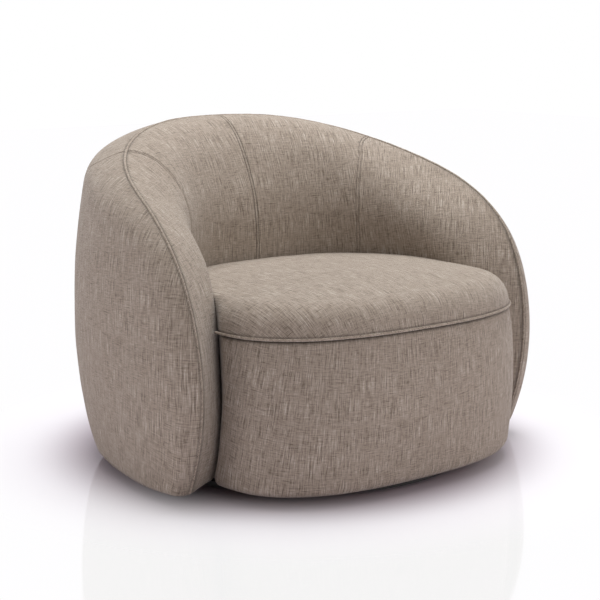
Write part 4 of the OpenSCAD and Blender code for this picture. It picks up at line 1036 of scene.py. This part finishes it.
# Finishes of the carried-over frame and swivel
PLY = wood("plywood", rgb(0.62, 0.45, 0.27), rgb(0.46, 0.30, 0.16))
FINISHES = {
    "plinth": wood("black_stain", rgb(0.016, 0.014, 0.013), rgb(0.008, 0.007, 0.006), rough=0.42),
    "floor_glides": plain("glide_plastic", rgb(0.02, 0.02, 0.02), rough=0.55, bump=0.15),
    "ball_cage": plain("cage_plastic", rgb(0.65, 0.60, 0.50), rough=0.5, bump=0.1),
    "dust_cloth": plain("dust_cloth", rgb(0.013, 0.012, 0.012), rough=0.95,
                        bump=0.6, bump_size=900.0, spec=0.1),
    "outer_liner": wood("fibreboard", rgb(0.36, 0.27, 0.17), rgb(0.28, 0.20, 0.12),
                        grain=(60.0, 60.0, 60.0)),
    "back_webbing": plain("webbing", rgb(0.05, 0.045, 0.04), rough=0.85,
                          bump=0.5, bump_size=700.0, spec=0.2),
    "spring_felt": plain("felt", rgb(0.27, 0.25, 0.22), rough=0.95, bump=0.7, bump_size=500.0, spec=0.1),
}
STEEL = plain("rolled_steel", rgb(0.36, 0.37, 0.38), rough=0.34, metal=1.0, bump=0.08)
ZINC = plain("zinc_plate", rgb(0.55, 0.56, 0.57), rough=0.28, metal=1.0, bump=0.05)
WIRE = plain("tempered_wire", rgb(0.16, 0.17, 0.18), rough=0.4, metal=1.0, bump=0.1)
POWDER = plain("powder_coat", rgb(0.03, 0.03, 0.032), rough=0.45, bump=0.35, bump_size=1200.0)
SHARED = (
    (POWDER, ["swivel_lower_plate", "swivel_upper_plate"]),
    (STEEL, ["lower_race", "upper_race"]),
    (ZINC, ["bearing_balls", "king_bolt", "king_nut", "lower_plate_screws", "upper_plate_bolts",
            "tee_nuts"]),
    (WIRE, ["seat_springs", "spring_clips"]),
    (PLY, ["floor_board", "edge_battens", "seat_front_rail", "seat_side_rail_left",
           "seat_side_rail_right", "seat_back_rail", "corner_blocks", "top_rail", "arm_panel_left",
           "arm_panel_right", "back_posts"]),
)
for material, names in SHARED:
    FINISHES.update({name: material for name in names})
for name, material in FINISHES.items():
    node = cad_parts[name]
    node.data.materials.clear()
    node.data.materials.append(material)
    for poly in node.data.polygons:
        poly.material_index = 0


# Floor, background, light and camera
def floor_material():
    """Glossy white floor that runs out into the white background away from the chair, with a painted purple
    shadow darkening its colour round the chair.
    """
    n = Nodes("studio_floor")
    where = n.add("ShaderNodeTexCoord").outputs["Object"]
    away = n.add("ShaderNodeVectorMath", {0: where}, operation="LENGTH").outputs["Value"]
    slow = n.noise(where, (1, 1, 1), size=3.0, detail=2.0)
    # Painted shadow: the floor's colour darkens to a dull purple close round the chair
    painted_shadow_tint = n.shade(rgb(0.42, 0.34, 0.40), rgb(0.88, 0.83, 0.90), n.ramp(away, 0.41, 0.60))
    surface = n.add("ShaderNodeBsdfDiffuse", {"Color": painted_shadow_tint})
    glow = n.add("ShaderNodeEmission", {"Color": rgb(1.0, 1.0, 1.0), "Strength": 1.0})
    path = n.add("ShaderNodeLightPath")
    seen = n.math("MAXIMUM", path.outputs["Is Camera Ray"], path.outputs["Is Glossy Ray"])
    clear = n.ramp(away, 0.38, 0.80)
    white = n.math("MULTIPLY", seen, clear)
    base = n.add("ShaderNodeMixShader", {0: white, 1: surface.outputs[0], 2: glow.outputs[0]})
    polish = n.add("ShaderNodeBsdfGlossy", {
        "Color": rgb(0.97, 0.92, 1.0), "Roughness": n.math("MULTIPLY_ADD", slow, 0.02, 0.05)})
    both = n.add("ShaderNodeMixShader", {0: 0.11, 1: base.outputs[0], 2: polish.outputs[0]})
    n.tree.links.new(both.outputs[0], n.out.inputs[0])
    return n.mat


FLOOR = 9.0
CORNERS = [(-FLOOR, -FLOOR, 0), (FLOOR, -FLOOR, 0), (FLOOR, FLOOR, 0), (-FLOOR, FLOOR, 0)]
floor = add_mesh("floor", CORNERS, [(0, 1, 2, 3)])
floor.data.materials.append(floor_material())


def studio_world():
    """Soft light all round, seen as plain white."""
    world = bpy.data.worlds.new("studio")
    world.use_nodes = True
    tree = world.node_tree
    tree.nodes.clear()
    out = tree.nodes.new("ShaderNodeOutputWorld")
    path = tree.nodes.new("ShaderNodeLightPath")
    blend = tree.nodes.new("ShaderNodeMixShader")
    seen = path.outputs["Is Camera Ray"]
    for ray in ("Is Glossy Ray", "Is Transmission Ray"):
        either = tree.nodes.new("ShaderNodeMath")
        either.operation = "MAXIMUM"
        tree.links.new(seen, either.inputs[0])
        tree.links.new(path.outputs[ray], either.inputs[1])
        seen = either.outputs[0]
    tree.links.new(seen, blend.inputs[0])
    for i, colour, strength in ((1, rgb(1.0, 0.975, 0.945), 0.30), (2, rgb(1, 1, 1), 1.0)):
        backdrop = tree.nodes.new("ShaderNodeBackground")
        backdrop.inputs[0].default_value = colour
        backdrop.inputs[1].default_value = strength
        tree.links.new(backdrop.outputs[0], blend.inputs[i])
    tree.links.new(blend.outputs[0], out.inputs[0])
    bpy.context.scene.world = world


studio_world()


def area_light(name, place, target, size_x, size_y, power, colour):
    data = bpy.data.lights.new(name, "AREA")
    data.shape = "RECTANGLE"
    data.size, data.size_y = size_x, size_y
    data.energy = power
    data.color = colour
    obj = bpy.data.objects.new(name, data)
    obj.location = place
    obj.rotation_euler = (Vector(target) - Vector(place)).to_track_quat("-Z", "Y").to_euler()
    bpy.context.scene.collection.objects.link(obj)


area_light("top_light", (0.35, 0.4, 3.0), (0, 0, 0.4), 2.3, 2.3, 117, (0.94, 0.965, 0.98))
area_light("left_light", (-3.0, 0.9, 0.95), (0, 0, 0.35), 1.8, 1.4, 25, (1.0, 0.985, 0.965))
area_light("right_light", (2.4, -2.5, 1.4), (0, 0, 0.35), 2.0, 2.0, 28, (1.0, 0.985, 0.95))
area_light("front_light", (0.3, -3.6, 0.9), (0, 0, 0.3), 1.6, 1.6, 15, (1.0, 0.985, 0.95))

# The camera as fitted to the photograph
EYE = (-1.91203, -2.41761 - MID, 0.92501)
LOOK_DOWN, LOOK_ROUND = 10.7358, -37.1513
cam = bpy.data.cameras.new("camera")
cam.sensor_width = 36
cam.lens = 88.859
eye = bpy.data.objects.new("camera", cam)
eye.location = EYE
eye.rotation_euler = (math.radians(90 - LOOK_DOWN), 0, math.radians(LOOK_ROUND))
bpy.context.scene.collection.objects.link(eye)
bpy.context.scene.camera = eye

bpy.context.scene.view_settings.view_transform = "Standard"
